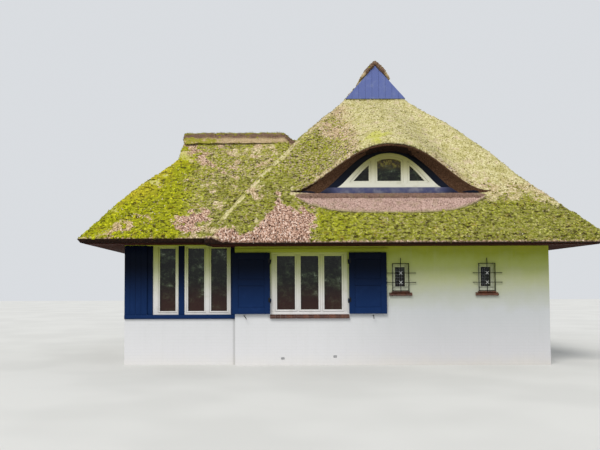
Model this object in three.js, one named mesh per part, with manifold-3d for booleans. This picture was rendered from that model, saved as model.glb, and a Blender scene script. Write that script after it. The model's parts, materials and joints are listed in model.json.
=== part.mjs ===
// Thatched cottage: a hipped main block with an eyebrow dormer, and a lower hipped wing on its west side.
// Millimetres, +Z up. X runs along the front wall to the east, Y runs from the front to the back.
// The origin lies on the underside of the floor, below the main ridge, midway between front and back.
import * as THREE from 'three';
import { mergeVertices } from 'three/addons/utils/BufferGeometryUtils.js';
import Module from 'manifold-3d';

const wasm = await Module();
wasm.setup();

// Seat between two pieces that touch
const SEAT = 0.3;

// Main block, outer faces
const WALL = 300;
const MAIN = { west: -3300, east: 2980, front: -4300, back: 4300 };
const MAIN_EAVE = { halfX: 3830, halfY: 4850, bottom: 2350, nose: 2440, top: 2600 };
const RIDGE = { halfLength: 1720, hipTop: 6060, hipHalf: 770 };

// Wing, outer faces, and its roof
const WING = { west: -5540, east: MAIN.west, front: -4130, back: -470 };
const WING_EAVE = { west: -6295, front: -4700, back: 100, bottom: 2430, nose: 2480, top: 2590 };
const WING_RIDGE = { y: -2300, z: 5050, hipX: -4620, hipZ: 4400, endX: -4520 };

// Thatch, floors and the boards that close the ends below the ridge
const THATCH = 300;
const FLOOR = 100;
const ATTIC = { bottom: 2450, top: 2600 };
const GABLET = { half: 725, base: 6105, thick: 30 };

// Eyebrow dormer: the lip of the brow follows a bell curve, and bulges forward in the middle
const BROW = {
  x: -148, half: 2090, foot: 3500, rise: 888, footY: -4040, bulge: 350, lip: 120, taper: 130, fall: 30,
};
const DORMER = { y: BROW.footY, half: 1070, sill: 3588, rise: 708, board: 30, bottom: 3470, rail: 130 };

// Front windows
const MAIN_WINDOW = { west: -2576, east: -1048, bottom: 1016, top: 2250, paneBottom: 1106, paneTop: 2180 };
const MAIN_PANES = [[-2460, -2100], [-1984, -1628], [-1512, -1160]];
const BAND = { west: -5090, east: MAIN.west - SEAT, bottom: 1003, top: 2400, paneBottom: 1074, paneTop: 2330 };
const BAND_PANES = [[-4833, -4466], [-4268, -3937], [-3787, -3481]];
const BAND_SILL = 920;
const SMALL = { half: 168, bottom: 1460, top: 2015 };
const SMALL_X = { left: 7, right: 1729 };
const GRILLE = { west: 270, east: 305, bar: 12, standoff: 30, cross: [1640, 1828], top: 2130 };
const FRAME = 60;
const PANE = 8;

// Openings in the sides that repeat the front's
const BACK_WINDOW = { west: -924, east: 604 };
const EAST_WINDOW = [-2600, -1072];
const WEST_WINDOW = [-3064, -1536];
const DOOR = { front: 600, back: 1620, bottom: FLOOR, top: 2250 };

// Shutters
const SHUTTER = { width: 750, bottom: 1022, top: 2243, thick: 38, offWall: 25, edge: 14 };
const STILE = 110;
const PANEL = { rail: 120, middle: 1648, sink: 8 };
const HINGE_Z = [1300, 2080];
const PIN = { radius: 6, ring: 12, height: 44 };
const AXIS_Y = MAIN.front - SHUTTER.offWall - SHUTTER.thick / 2;
const AXIS_X = { left: MAIN_WINDOW.west - 9, right: MAIN_WINDOW.east + 9 };

const COLOURS = {
  wall: [0xe2e3e9, 0.9, 0],
  thatch: [0x8d8a3c, 1, 0],
  heather: [0x6d5148, 1, 0],
  cream: [0xe9e6d6, 0.5, 0],
  navy: [0x1c2a5e, 0.45, 0],
  glass: [0x4d5a5c, 0.08, 0],
  brick: [0x7a3d31, 0.7, 0],
  iron: [0x17181b, 0.5, 0.6],
  floor: [0xa79d8e, 0.9, 0],
  boards: [0xa78458, 0.8, 0],
};

const cottage = new THREE.Group();

function addPiece(name, geometry, colour) {
  const [color, roughness, metalness] = COLOURS[colour];
  const mesh = new THREE.Mesh(geometry, new THREE.MeshStandardMaterial({ color, roughness, metalness }));
  mesh.name = name;
  cottage.add(mesh);
}

// Joining and cutting
function toSolid(geometry) {
  const bare = geometry.clone();
  bare.deleteAttribute('normal');
  bare.deleteAttribute('uv');
  const merged = mergeVertices(bare, 1e-4);
  return new wasm.Manifold(new wasm.Mesh({
    numProp: 3,
    vertProperties: Float32Array.from(merged.attributes.position.array),
    triVerts: Uint32Array.from(merged.index.array),
  }));
}

function toGeometry(solid) {
  const mesh = solid.getMesh();
  const geometry = new THREE.BufferGeometry();
  geometry.setAttribute('position', new THREE.BufferAttribute(Float32Array.from(mesh.vertProperties), 3));
  geometry.setIndex(new THREE.BufferAttribute(Uint32Array.from(mesh.triVerts), 1));
  geometry.computeVertexNormals();
  return geometry;
}

// Plain blocks and extruded outlines
function block([x0, x1], [y0, y1], [z0, z1]) {
  const geometry = new THREE.BoxGeometry(x1 - x0, y1 - y0, z1 - z0);
  return geometry.translate((x0 + x1) / 2, (y0 + y1) / 2, (z0 + z1) / 2);
}

const solidBlock = (x, y, z) => toSolid(block(x, y, z));

function outline(points) {
  return new THREE.Shape(points.map(([a, b]) => new THREE.Vector2(a, b)));
}

function extrude(shape, from, to) {
  const geometry = new THREE.ExtrudeGeometry(shape, { depth: to - from, bevelEnabled: false });
  return geometry.translate(0, 0, from);
}

// An outline drawn on X and Z, pushed along Y
function alongY(points, y0, y1) {
  return extrude(outline(points), 0, y1 - y0).rotateX(Math.PI / 2).translate(0, y1, 0);
}

// An outline drawn on Y and Z, pushed along X
function alongX(points, x0, x1) {
  const turn = new THREE.Matrix4().makeBasis(
    new THREE.Vector3(0, 1, 0), new THREE.Vector3(0, 0, 1), new THREE.Vector3(1, 0, 0));
  return extrude(outline(points), x0, x1).applyMatrix4(turn);
}

const rectangle = (x0, x1, z0, z1) => [[x0, z0], [x1, z0], [x1, z1], [x0, z1]];

// Roof planes
const mainSideSlope = (RIDGE.hipTop - MAIN_EAVE.top) / (MAIN_EAVE.halfX - RIDGE.hipHalf);
const mainEndSlope = (RIDGE.hipTop - MAIN_EAVE.top) / (MAIN_EAVE.halfY - RIDGE.halfLength);
const mainRidgeZ = MAIN_EAVE.top + mainSideSlope * MAIN_EAVE.halfX;
const wingSlope = (WING_RIDGE.z - WING_EAVE.top) / (WING_RIDGE.y - WING_EAVE.front);
const wingHipSlope = (WING_RIDGE.hipZ - WING_EAVE.top) / (WING_RIDGE.hipX - WING_EAVE.west);
const lift = (slope, offset) => offset * Math.hypot(1, slope);

// The outer body of the main roof, with every slope moved out by grow
function mainBody(grow) {
  const side = lift(mainSideSlope, grow);
  const end = lift(mainEndSlope, grow);
  const { halfX, halfY, nose, top } = MAIN_EAVE;
  const bottom = MAIN_EAVE.bottom - grow;
  const across = alongY([
    [-halfX + 60 - grow, bottom], [halfX - 60 + grow, bottom], [halfX + grow, nose],
    [halfX + grow, top + side], [0, mainRidgeZ + side], [-halfX - grow, top + side], [-halfX - grow, nose],
  ], -halfY - 500, halfY + 500);
  const ridgeEnd = RIDGE.halfLength + grow;
  const sky = mainRidgeZ + 1000;
  const along = alongX([
    [-halfY + 60 - grow, bottom], [halfY - 60 + grow, bottom], [halfY + grow, nose], [halfY + grow, top + end],
    [ridgeEnd, RIDGE.hipTop + end], [ridgeEnd, sky], [-ridgeEnd, sky], [-ridgeEnd, RIDGE.hipTop + end],
    [-halfY - grow, top + end], [-halfY - grow, nose],
  ], -halfX - 500, halfX + 500);
  return toSolid(across).intersect(toSolid(along));
}

// The outer body of the wing roof, which runs on into the main roof
function wingBody(grow) {
  const slope = lift(wingSlope, grow);
  const hip = lift(wingHipSlope, grow);
  const { front, back, west, nose, top } = WING_EAVE;
  const bottom = WING_EAVE.bottom - grow;
  const across = alongX([
    [front + 50 - grow, bottom], [back - 50 + grow, bottom], [back + grow, nose], [back + grow, top + slope],
    [WING_RIDGE.y, WING_RIDGE.z + slope], [front - grow, top + slope], [front - grow, nose],
  ], west - 500, 0);
  const sky = WING_RIDGE.z + 1000;
  const along = alongY([
    [west + 50 - grow, bottom], [-100, bottom], [-100, sky], [WING_RIDGE.endX - grow, sky],
    [WING_RIDGE.endX - grow, WING_RIDGE.z], [WING_RIDGE.hipX - grow, WING_RIDGE.hipZ + hip],
    [west - grow, top + hip], [west - grow, nose],
  ], front - 500, back + 500);
  return toSolid(across).intersect(toSolid(along));
}

// The space under the roofs, down to the ground, as far as the outer faces of the walls
function spaceUnder(drop) {
  const sideTop = mainRidgeZ - lift(mainSideSlope, THATCH) - drop;
  const sideFoot = sideTop - mainSideSlope * 5000;
  const deep = -100;
  const endTop = MAIN_EAVE.top - lift(mainEndSlope, THATCH) - drop;
  const crown = endTop + mainEndSlope * MAIN_EAVE.halfY;
  const wide = 9000;
  const main = toSolid(alongY([[-5000, deep], [5000, deep], [5000, sideFoot], [0, sideTop], [-5000, sideFoot]],
    -wide, wide))
    .intersect(toSolid(alongX([
      [-5000, deep], [5000, deep], [5000, crown - mainEndSlope * 5000], [0, crown],
      [-5000, crown - mainEndSlope * 5000],
    ], -wide, wide)))
    .intersect(solidBlock([MAIN.west - SEAT, MAIN.east + SEAT], [MAIN.front - SEAT, MAIN.back + SEAT],
      [deep, 9000]));
  const wingTop = WING_RIDGE.z - lift(wingSlope, THATCH) - drop;
  const hipFoot = WING_EAVE.top - lift(wingHipSlope, THATCH) - drop;
  const wingReach = 3000;
  const hipLength = (wingTop - hipFoot) / wingHipSlope;
  const wing = toSolid(alongX([
    [WING_RIDGE.y - wingReach, deep], [WING_RIDGE.y + wingReach, deep],
    [WING_RIDGE.y + wingReach, wingTop - wingReach * wingSlope], [WING_RIDGE.y, wingTop],
    [WING_RIDGE.y - wingReach, wingTop - wingReach * wingSlope],
  ], -wide, -1500))
    .intersect(toSolid(alongY([
      [WING_EAVE.west, deep], [-1400, deep], [-1400, wingTop + 500],
      [WING_EAVE.west + hipLength + 500 / wingHipSlope, wingTop + 500], [WING_EAVE.west, hipFoot],
    ], -wide, wide)))
    .intersect(solidBlock([WING.west - SEAT, -1500], [WING.front - SEAT, WING.back + SEAT], [deep, 9000]));
  return main.add(wing);
}

// The bell curve of the brow, 1 in the middle and 0 at the ends
const bell = (u) => (1 - Math.min(1, Math.abs(u)) ** 2.2) ** 2.3;

const browSteps = Array.from({ length: 33 }, (_, i) => -1 + i / 16);

function browLip(t) {
  const swell = bell(t);
  const { x, half, footY, bulge, foot, rise } = BROW;
  return new THREE.Vector3(x + half * t, footY - bulge * swell, foot + rise * swell);
}

// The brow: straight reeds fan from its lip up to the top of the front hip, closed to a block inside the roof
function browBody() {
  const backY = -RIDGE.halfLength;
  const floor = MAIN_EAVE.bottom + 400;
  const sunk = 20;
  const rings = browSteps.map((t) => {
    const lip = browLip(t);
    const topX = RIDGE.hipHalf * t;
    return [
      [lip.x, lip.y, lip.z], [lip.x, lip.y, lip.z + BROW.lip * bell(t) + 1], [topX, backY, RIDGE.hipTop - sunk],
      [topX, backY, floor], [lip.x, lip.y + 800, floor],
    ];
  });
  const half = MAIN_EAVE.halfX;
  const betweenSides = alongY([[-half, MAIN_EAVE.top], [half, MAIN_EAVE.top], [0, mainRidgeZ]],
    -MAIN_EAVE.halfY, backY);
  return toSolid(loft(rings)).intersect(toSolid(betweenSides));
}

// A closed skin through rings of the same number of points
function loft(rings) {
  const count = rings[0].length;
  const index = [];
  for (let i = 0; i + 1 < rings.length; i += 1) {
    for (let j = 0; j < count; j += 1) {
      const a = i * count + j;
      const b = i * count + ((j + 1) % count);
      index.push(a, a + count, b, b, a + count, b + count);
    }
  }
  const last = (rings.length - 1) * count;
  for (let j = 1; j + 1 < count; j += 1) {
    index.push(0, j, j + 1, last, last + j + 1, last + j);
  }
  const geometry = new THREE.BufferGeometry();
  geometry.setAttribute('position', new THREE.Float32BufferAttribute(rings.flat(2), 3));
  geometry.setIndex(index);
  return geometry;
}

// The edge of the brow's soffit where it meets the dormer's board: the lip's curve, drawn in by the taper
function soffitPoint(t, inset = 0) {
  const x = BROW.x + (BROW.half - BROW.taper - inset) * t;
  return [x, BROW.foot + (BROW.rise - BROW.fall) * bell(t) - inset];
}

// The niche below the brow, in front of the dormer window
function nicheBody() {
  const reach = 200;
  const deepY = DORMER.y + DORMER.board + SEAT;
  const rings = browSteps.map((t) => {
    const lip = browLip(t);
    const [backX, backZ] = soffitPoint(t);
    const out = reach / (deepY - lip.y);
    const frontX = lip.x + (lip.x - backX) * out;
    const frontZ = lip.z + (lip.z - backZ) * out;
    return [
      [frontX, lip.y - reach, frontZ + 1], [backX, deepY, backZ + 1], [backX, deepY, DORMER.bottom],
      [frontX, lip.y - reach, DORMER.bottom],
    ];
  });
  return toSolid(loft(rings));
}

// The outline of the dormer window: a low arch that runs out to a point at each side
function archPoints(inset) {
  const points = [];
  for (let i = 0; i <= 24; i += 1) {
    const t = -1 + i / 12;
    const height = (DORMER.rise - inset) * (1 - Math.abs(t) ** 2.2) ** 1.45;
    points.push([BROW.x + (DORMER.half - 2 * inset) * t, DORMER.sill + height]);
  }
  return points.reverse();
}

const space = spaceUnder(0);
const brow = browBody();
const tunnel = toSolid(alongY(archPoints(40), DORMER.y - 100, -1500));

function makeRoofs() {
  const main = mainBody(0).add(brow).subtract(nicheBody()).subtract(tunnel).subtract(space);
  addPiece('main_thatch', toGeometry(main), 'thatch');
  const wing = wingBody(0).subtract(mainBody(SEAT)).subtract(space);
  addPiece('wing_thatch', toGeometry(wing), 'thatch');
}

// Heather ridges: a bent cap along each ridge
function capProfile(centre, ridgeZ, slope, half, thick) {
  const seat = ridgeZ + lift(slope, SEAT);
  const top = ridgeZ + lift(slope, thick);
  const drop = slope * half;
  const out = (thick * slope) / Math.hypot(1, slope);
  return [
    [centre - half, seat - drop], [centre - half - out, top - drop - slope * out],
    [centre - 90, top - slope * 90], [centre, top - 30], [centre + 90, top - slope * 90],
    [centre + half + out, top - drop - slope * out], [centre + half, seat - drop], [centre, seat],
  ].reverse();
}

function makeRidges() {
  const cap = capProfile(0, mainRidgeZ, mainSideSlope, 330, 80);
  addPiece('main_ridge', alongY(cap, -RIDGE.halfLength - 60, RIDGE.halfLength + 60), 'heather');
  const wing = capProfile(WING_RIDGE.y, WING_RIDGE.z, wingSlope, 260, 80);
  const run = toSolid(alongX(wing, WING_RIDGE.endX - 15, -500)).subtract(mainBody(SEAT)).subtract(brow);
  const west = run.decompose().sort((a, b) => a.boundingBox().min[0] - b.boundingBox().min[0])[0];
  addPiece('wing_ridge', toGeometry(west), 'heather');
}

// The boards stand on the cut ends of the thatch
function makeGablets() {
  const { half, base, thick } = GABLET;
  const points = [[-half, base], [half, base], [0, base + half * mainSideSlope]];
  const face = RIDGE.halfLength + SEAT;
  addPiece('front_gablet', alongY(points, -face - thick, -face), 'navy');
  addPiece('back_gablet', alongY(points, face, face + thick), 'navy');
}

// Walls: their tops follow the underside of the thatch
const under = spaceUnder(SEAT * 2);

function addWall(name, x, y, cuts) {
  let wall = solidBlock(x, y, [0, 5500]).intersect(under);
  for (const cut of cuts) {
    wall = wall.subtract(cut);
  }
  addPiece(name, toGeometry(wall), 'wall');
}

function windowHole([x0, x1], y, [z0, z1]) {
  return solidBlock([x0, x1], [y - WALL - 50, y + WALL + 50], [z0, z1]);
}

function sideHole(x, [y0, y1], [z0, z1]) {
  return solidBlock([x - WALL - 50, x + WALL + 50], [y0, y1], [z0, z1]);
}

function makeWalls() {
  addWall('main_front_wall', [MAIN.west, MAIN.east], [MAIN.front, MAIN.front + WALL], [
    windowHole([MAIN_WINDOW.west, MAIN_WINDOW.east], MAIN.front, [MAIN_WINDOW.bottom, MAIN_WINDOW.top]),
    windowHole([SMALL_X.left - SMALL.half, SMALL_X.left + SMALL.half], MAIN.front, [SMALL.bottom, SMALL.top]),
    windowHole([SMALL_X.right - SMALL.half, SMALL_X.right + SMALL.half], MAIN.front, [SMALL.bottom, SMALL.top]),
  ]);
  addWall('main_back_wall', [MAIN.west, MAIN.east], [MAIN.back - WALL, MAIN.back], [
    windowHole([BACK_WINDOW.west, BACK_WINDOW.east], MAIN.back, [MAIN_WINDOW.bottom, MAIN_WINDOW.top]),
  ]);
  const between = [MAIN.front + WALL + SEAT, MAIN.back - WALL - SEAT];
  addWall('main_east_wall', [MAIN.east - WALL, MAIN.east], between, [
    sideHole(MAIN.east, EAST_WINDOW, [MAIN_WINDOW.bottom, MAIN_WINDOW.top]),
    sideHole(MAIN.east, [DOOR.front, DOOR.back], [DOOR.bottom, DOOR.top]),
  ]);
  addWall('main_west_wall', [MAIN.west, MAIN.west + WALL], [WING.back - WALL, MAIN.back - WALL - SEAT], []);
  const bandHole = solidBlock([BAND.west, MAIN.west + 50], [WING.front - 50, WING.front + WALL + 50],
    [BAND_SILL, BAND.top]);
  addWall('wing_front_wall', [WING.west, MAIN.west - SEAT], [WING.front, WING.front + WALL], [bandHole]);
  addWall('wing_west_wall', [WING.west, WING.west + WALL], [WING.front + WALL + SEAT, WING.back - WALL - SEAT],
    [sideHole(WING.west, WEST_WINDOW, [MAIN_WINDOW.bottom, MAIN_WINDOW.top])]);
  addWall('wing_back_wall', [WING.west, MAIN.west - SEAT], [WING.back - WALL, WING.back], []);
}

// One floor runs through the main block and the wing
function floorSlab(z) {
  const main = solidBlock([MAIN.west + WALL + SEAT, MAIN.east - WALL - SEAT],
    [MAIN.front + WALL + SEAT, MAIN.back - WALL - SEAT], z);
  const wing = solidBlock([WING.west + WALL + SEAT, MAIN.west + WALL + 1],
    [WING.front + WALL + SEAT, WING.back - WALL - SEAT], z);
  return toGeometry(main.add(wing));
}

function makeFloors() {
  addPiece('ground_floor', floorSlab([0, FLOOR]), 'floor');
  addPiece('attic_floor', floorSlab([ATTIC.bottom, ATTIC.top]), 'boards');
}

// A board or frame pushed along Y, with openings cut through it
function framed(points, y0, y1, holes) {
  const whole = toSolid(alongY(points, y0, y1));
  const cuts = holes.map((hole) => toSolid(alongY(hole, y0 - 10, y1 + 10)));
  return toGeometry(cuts.reduce((rest, cut) => rest.subtract(cut), whole));
}

// A window frame is one joined piece round its panes, with one sheet of glass behind it
function addWindow(name, [x0, x1], [z0, z1], face, panes, [paneBottom, paneTop]) {
  const outer = rectangle(x0 + SEAT, x1 - SEAT, z0 + SEAT, z1 - SEAT);
  const holes = panes.map(([a, b]) => rectangle(a, b, paneBottom, paneTop));
  addPiece(`${name}_frame`, framed(outer, face, face + FRAME, holes), 'cream');
  const margin = 30;
  const wide = [panes[0][0] - margin, panes[panes.length - 1][1] + margin];
  const deep = [face + FRAME + SEAT, face + FRAME + SEAT + PANE];
  addPiece(`${name}_glass`, block(wide, deep, [paneBottom - margin, paneTop + margin]), 'glass');
}

function addSill(name, [x0, x1], [y0, y1], [z0, z1], colour) {
  const nose = (z1 - z0) * 0.35;
  addPiece(name, alongX([[y0, z0], [y1, z0], [y1, z1], [y0, z1 - nose]], x0, x1), colour);
}

function makeMainWindow() {
  addWindow('main_window', [MAIN_WINDOW.west, MAIN_WINDOW.east], [MAIN_WINDOW.bottom, MAIN_WINDOW.top],
    MAIN.front + 20, MAIN_PANES, [MAIN_WINDOW.paneBottom, MAIN_WINDOW.paneTop]);
  addSill('main_window_sill', [-2604, -1020], [MAIN.front - 55, MAIN.front - SEAT], [932, 1012], 'brick');
  const board = block([MAIN.west, -240], [MAIN.front - 22, MAIN.front - SEAT], [2253, 2331]);
  addPiece('lintel_board', board, 'boards');
}

function makeSmallWindows() {
  for (const [side, x] of Object.entries(SMALL_X)) {
    const [x0, x1] = [x - SMALL.half, x + SMALL.half];
    addWindow(`${side}_small_window`, [x0, x1], [SMALL.bottom, SMALL.top], MAIN.front + 50,
      [[x - 95, x + 95]], [SMALL.bottom + 90, SMALL.top - 80]);
    addSill(`${side}_small_sill`, [x - 228, x + 228], [MAIN.front - 50, MAIN.front - SEAT],
      [SMALL.bottom - 85, SMALL.bottom - 20], 'brick');
    makeGrille(`${side}_grille`, x);
  }
}

// A grille of flat iron stands off the wall: a frame, two long cross bars and an upright, all in one
function makeGrille(name, x) {
  const { bar } = GRILLE;
  const y = MAIN.front - GRILLE.standoff;
  const parts = [
    block([x - 168, x + 168], [y - bar, y], [SMALL.bottom + 10, SMALL.bottom + 10 + bar]),
    block([x - 168, x + 168], [y - bar, y], [SMALL.top - 3, SMALL.top - 3 + bar]),
    block([x - 168, x - 168 + bar], [y - bar, y], [SMALL.bottom + 10, SMALL.top + 9]),
    block([x + 168 - bar, x + 168], [y - bar, y], [SMALL.bottom + 10, SMALL.top + 9]),
    block([x - bar / 2, x + bar / 2], [y - bar, y], [SMALL.bottom - 10, GRILLE.top]),
  ];
  for (const z of GRILLE.cross) {
    parts.push(block([x - GRILLE.west, x + GRILLE.east], [y - bar, y], [z - bar / 2, z + bar / 2]));
    for (const end of [x - GRILLE.west, x + GRILLE.east - bar]) {
      parts.push(block([end, end + bar], [y - bar, MAIN.front - SEAT], [z - bar / 2, z + bar / 2]));
    }
  }
  const joined = parts.map(toSolid).reduce((all, part) => all.add(part));
  addPiece(name, toGeometry(joined), 'iron');
}

function makeWingBand() {
  addWindow('wing_window', [BAND.west, BAND.east], [BAND.bottom, BAND.top], WING.front + 15, BAND_PANES,
    [BAND.paneBottom, BAND.paneTop]);
  const sill = solidBlock([WING.west, BAND.east], [WING.front - 40, WING.front - SEAT],
    [BAND_SILL + SEAT, BAND.bottom - SEAT]);
  const rail = solidBlock([BAND.west + SEAT, BAND.east], [WING.front - 10, WING.front + 75],
    [BAND_SILL + SEAT, BAND.bottom - SEAT]);
  addPiece('wing_window_sill', toGeometry(sill.add(rail)), 'navy');
  addPiece('wing_corner_panel', block([WING.west, BAND.west - SEAT], [WING.front - 25, WING.front - SEAT],
    [BAND.bottom + SEAT, BAND.top]), 'navy');
}

// The windows of the other sides have three lights like the front's, with a cream sill joined to the frame
function plainWindow() {
  const width = MAIN_WINDOW.east - MAIN_WINDOW.west;
  const { bottom, top, paneBottom, paneTop } = MAIN_WINDOW;
  const shift = ([a, b]) => [a - MAIN_WINDOW.west, b - MAIN_WINDOW.west];
  const panes = MAIN_PANES.map(shift);
  const frame = toSolid(framed(rectangle(SEAT, width - SEAT, bottom + SEAT, top - SEAT), 20, 20 + FRAME,
    panes.map(([a, b]) => rectangle(a, b, paneBottom, paneTop))));
  const sill = solidBlock([SEAT, width - SEAT], [-50, 25], [bottom + SEAT, bottom + 38]);
  const glass = block([panes[0][0] - 30, panes[2][1] + 30], [20 + FRAME + SEAT, 20 + FRAME + SEAT + PANE],
    [paneBottom - 30, paneTop + 30]);
  return { frame: toGeometry(frame.add(sill)), glass };
}

function addPlainWindow(name, place) {
  const { frame, glass } = plainWindow();
  addPiece(`${name}_window_frame`, frame.applyMatrix4(place), 'cream');
  addPiece(`${name}_window_glass`, glass.applyMatrix4(place), 'glass');
}

// Turns a window drawn for the front wall by quarter turns and moves it to its wall
function onWall(quarterTurns, x, y) {
  const place = new THREE.Matrix4().makeRotationZ((quarterTurns * Math.PI) / 2);
  return place.setPosition(x, y, 0);
}

function makeOtherSides() {
  addPlainWindow('back', onWall(2, BACK_WINDOW.east, MAIN.back));
  addPlainWindow('east', onWall(1, MAIN.east, EAST_WINDOW[0]));
  addPlainWindow('west', onWall(3, WING.west, WEST_WINDOW[1]));
  const leaf = solidBlock([MAIN.east - 90, MAIN.east - 40], [DOOR.front + 60, DOOR.back - 60],
    [DOOR.bottom + SEAT, DOOR.top - 60]);
  const frame = solidBlock([MAIN.east - 110, MAIN.east - 20], [DOOR.front + SEAT, DOOR.back - SEAT],
    [DOOR.bottom + SEAT, DOOR.top - SEAT])
    .subtract(solidBlock([MAIN.east - 200, MAIN.east], [DOOR.front + 70, DOOR.back - 70], [0, DOOR.top - 70]));
  addPiece('east_door', toGeometry(leaf.add(frame)), 'navy');
}

// Dormer: a navy board closes the niche, with the arched window set in it
function makeDormer() {
  const board = browSteps.map((t) => soffitPoint(t, SEAT)).filter(([, z]) => z > BROW.foot + 4);
  const [endX] = board[board.length - 1];
  const bottom = DORMER.bottom + SEAT;
  const closed = [...board, [endX, bottom], [2 * BROW.x - endX, bottom]].reverse();
  addPiece('dormer_board', framed(closed, DORMER.y, DORMER.y + DORMER.board, [archPoints(-SEAT)]), 'navy');
  const low = DORMER.sill + DORMER.rail;
  const top = DORMER.sill + DORMER.rise;
  const centrePane = [
    [-238, low], [238, low], [238, top - 128], [120, top - 82], [0, top - 70], [-120, top - 82],
    [-238, top - 128],
  ];
  const leftPane = [[-735, low], [-425, low], [-425, low + 330], [-560, low + 205]];
  const rightPane = leftPane.map(([x, z]) => [-x, z]).reverse();
  const panes = [leftPane, centrePane, rightPane].map((pane) => pane.map(([x, z]) => [BROW.x + x, z]));
  const frameBack = DORMER.y + DORMER.board;
  addPiece('dormer_window_frame', framed(archPoints(0), frameBack - FRAME, frameBack, panes), 'cream');
  const glass = [[-770, low - 25], [770, low - 25], [435, low + 345], [150, top - 62],
    [-150, top - 62], [-435, low + 345]];
  addPiece('dormer_window_glass', alongY(glass.map(([x, z]) => [BROW.x + x, z]), frameBack + SEAT,
    frameBack + SEAT + PANE), 'glass');
}

// Shutters: a framed leaf with two sunk panels, and two rings that turn on pins at the window's jamb
function shutterLeaf(side) {
  const out = side === 'left' ? -1 : 1;
  const axis = AXIS_X[side];
  const span = (a, b) => [axis + out * a, axis + out * b].sort((p, q) => p - q);
  const y = [AXIS_Y - SHUTTER.thick / 2, AXIS_Y + SHUTTER.thick / 2];
  const far = SHUTTER.edge + SHUTTER.width;
  let leaf = solidBlock(span(SHUTTER.edge, far), y, [SHUTTER.bottom, SHUTTER.top]);
  const across = span(SHUTTER.edge + STILE, far - STILE);
  const fields = [
    [SHUTTER.bottom + PANEL.rail, PANEL.middle - PANEL.rail / 2],
    [PANEL.middle + PANEL.rail / 2, SHUTTER.top - PANEL.rail],
  ];
  for (const field of fields) {
    leaf = leaf.subtract(solidBlock(across, [y[0] - 1, y[0] + PANEL.sink], field));
    leaf = leaf.subtract(solidBlock(across, [y[1] - PANEL.sink, y[1] + 1], field));
  }
  for (const z of HINGE_Z) {
    const low = z - PIN.height / 2;
    const ring = new THREE.CylinderGeometry(PIN.ring, PIN.ring, PIN.height, 24).rotateX(Math.PI / 2);
    const bore = new THREE.CylinderGeometry(PIN.radius + SEAT, PIN.radius + SEAT, PIN.height + 10, 24)
      .rotateX(Math.PI / 2);
    leaf = leaf.add(toSolid(ring.translate(axis, AXIS_Y, z)))
      .add(solidBlock(span(4, SHUTTER.edge + 5), [AXIS_Y - 4, AXIS_Y + 4], [low, low + PIN.height]))
      .subtract(toSolid(bore.translate(axis, AXIS_Y, z)));
  }
  return leaf;
}

// A pintle: a plate on the wall, an arm below the ring and a pin that stands through it
function pintle(side, z) {
  const axis = AXIS_X[side];
  const inward = side === 'left' ? 1 : -1;
  const armTop = z - PIN.height / 2 - SEAT;
  const pin = new THREE.CylinderGeometry(PIN.radius, PIN.radius, PIN.height + 16, 24).rotateX(Math.PI / 2);
  const plateX = [axis + 22 * -inward, axis + 2 * inward].sort((p, q) => p - q);
  return solidBlock([axis - 6, axis + 6], [AXIS_Y - 8, MAIN.front - SEAT], [armTop - 12, armTop])
    .add(toSolid(pin.translate(axis, AXIS_Y, armTop - 6 + (PIN.height + 16) / 2)))
    .add(solidBlock(plateX, [MAIN.front - 5, MAIN.front - SEAT], [armTop - 40, armTop + 40]));
}

function makeShutters() {
  for (const side of ['left', 'right']) {
    addPiece(`${side}_shutter`, toGeometry(shutterLeaf(side)), 'navy');
    addPiece(`${side}_lower_pintle`, toGeometry(pintle(side, HINGE_Z[0])), 'iron');
    addPiece(`${side}_upper_pintle`, toGeometry(pintle(side, HINGE_Z[1])), 'iron');
  }
}

makeRoofs();
makeMainWindow();
makeSmallWindows();
makeWingBand();
makeDormer();
makeShutters();
makeOtherSides();
makeRidges();
makeGablets();
makeWalls();
makeFloors();

export default cottage;
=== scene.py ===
"""Thatched cottage: its looks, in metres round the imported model, in the order in which the house goes up."""
import json
import math

import bmesh
import bpy
import numpy as np
from mathutils import Matrix, Vector, noise

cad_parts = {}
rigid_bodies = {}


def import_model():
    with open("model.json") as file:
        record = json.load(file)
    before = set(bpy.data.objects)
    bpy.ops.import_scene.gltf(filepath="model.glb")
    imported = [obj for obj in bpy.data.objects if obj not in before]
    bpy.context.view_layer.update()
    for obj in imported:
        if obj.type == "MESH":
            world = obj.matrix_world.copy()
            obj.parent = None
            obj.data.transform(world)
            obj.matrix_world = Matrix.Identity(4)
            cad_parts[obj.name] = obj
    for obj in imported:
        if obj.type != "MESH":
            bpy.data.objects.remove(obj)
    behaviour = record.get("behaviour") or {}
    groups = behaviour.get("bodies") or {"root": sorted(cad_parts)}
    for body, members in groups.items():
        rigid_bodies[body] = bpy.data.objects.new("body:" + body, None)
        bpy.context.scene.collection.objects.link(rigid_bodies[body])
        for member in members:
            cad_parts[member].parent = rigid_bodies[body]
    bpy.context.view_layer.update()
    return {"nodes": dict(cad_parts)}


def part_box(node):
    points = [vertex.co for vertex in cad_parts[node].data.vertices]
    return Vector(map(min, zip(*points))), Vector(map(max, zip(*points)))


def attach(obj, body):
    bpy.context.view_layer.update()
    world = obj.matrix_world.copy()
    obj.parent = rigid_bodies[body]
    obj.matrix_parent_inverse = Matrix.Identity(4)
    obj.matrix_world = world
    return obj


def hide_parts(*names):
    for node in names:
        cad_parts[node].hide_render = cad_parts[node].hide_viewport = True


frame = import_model()


# Walls
# Brick walls 30 cm thick, painted white over flush joints, so that the courses show as faint lines.
# Below the eaves it turns olive green: mostly painted shade from the eaves, tinted by green bounced light,
# partly a damp stain. It is soiled at the foot.
def tint(code):
    """A colour written as six hex digits, as the shader wants it."""
    channels = [int(code[i:i + 2], 16) / 255 for i in (0, 2, 4)]
    return [c / 12.92 if c <= 0.04045 else ((c + 0.055) / 1.055) ** 2.4 for c in channels] + [1]


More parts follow.
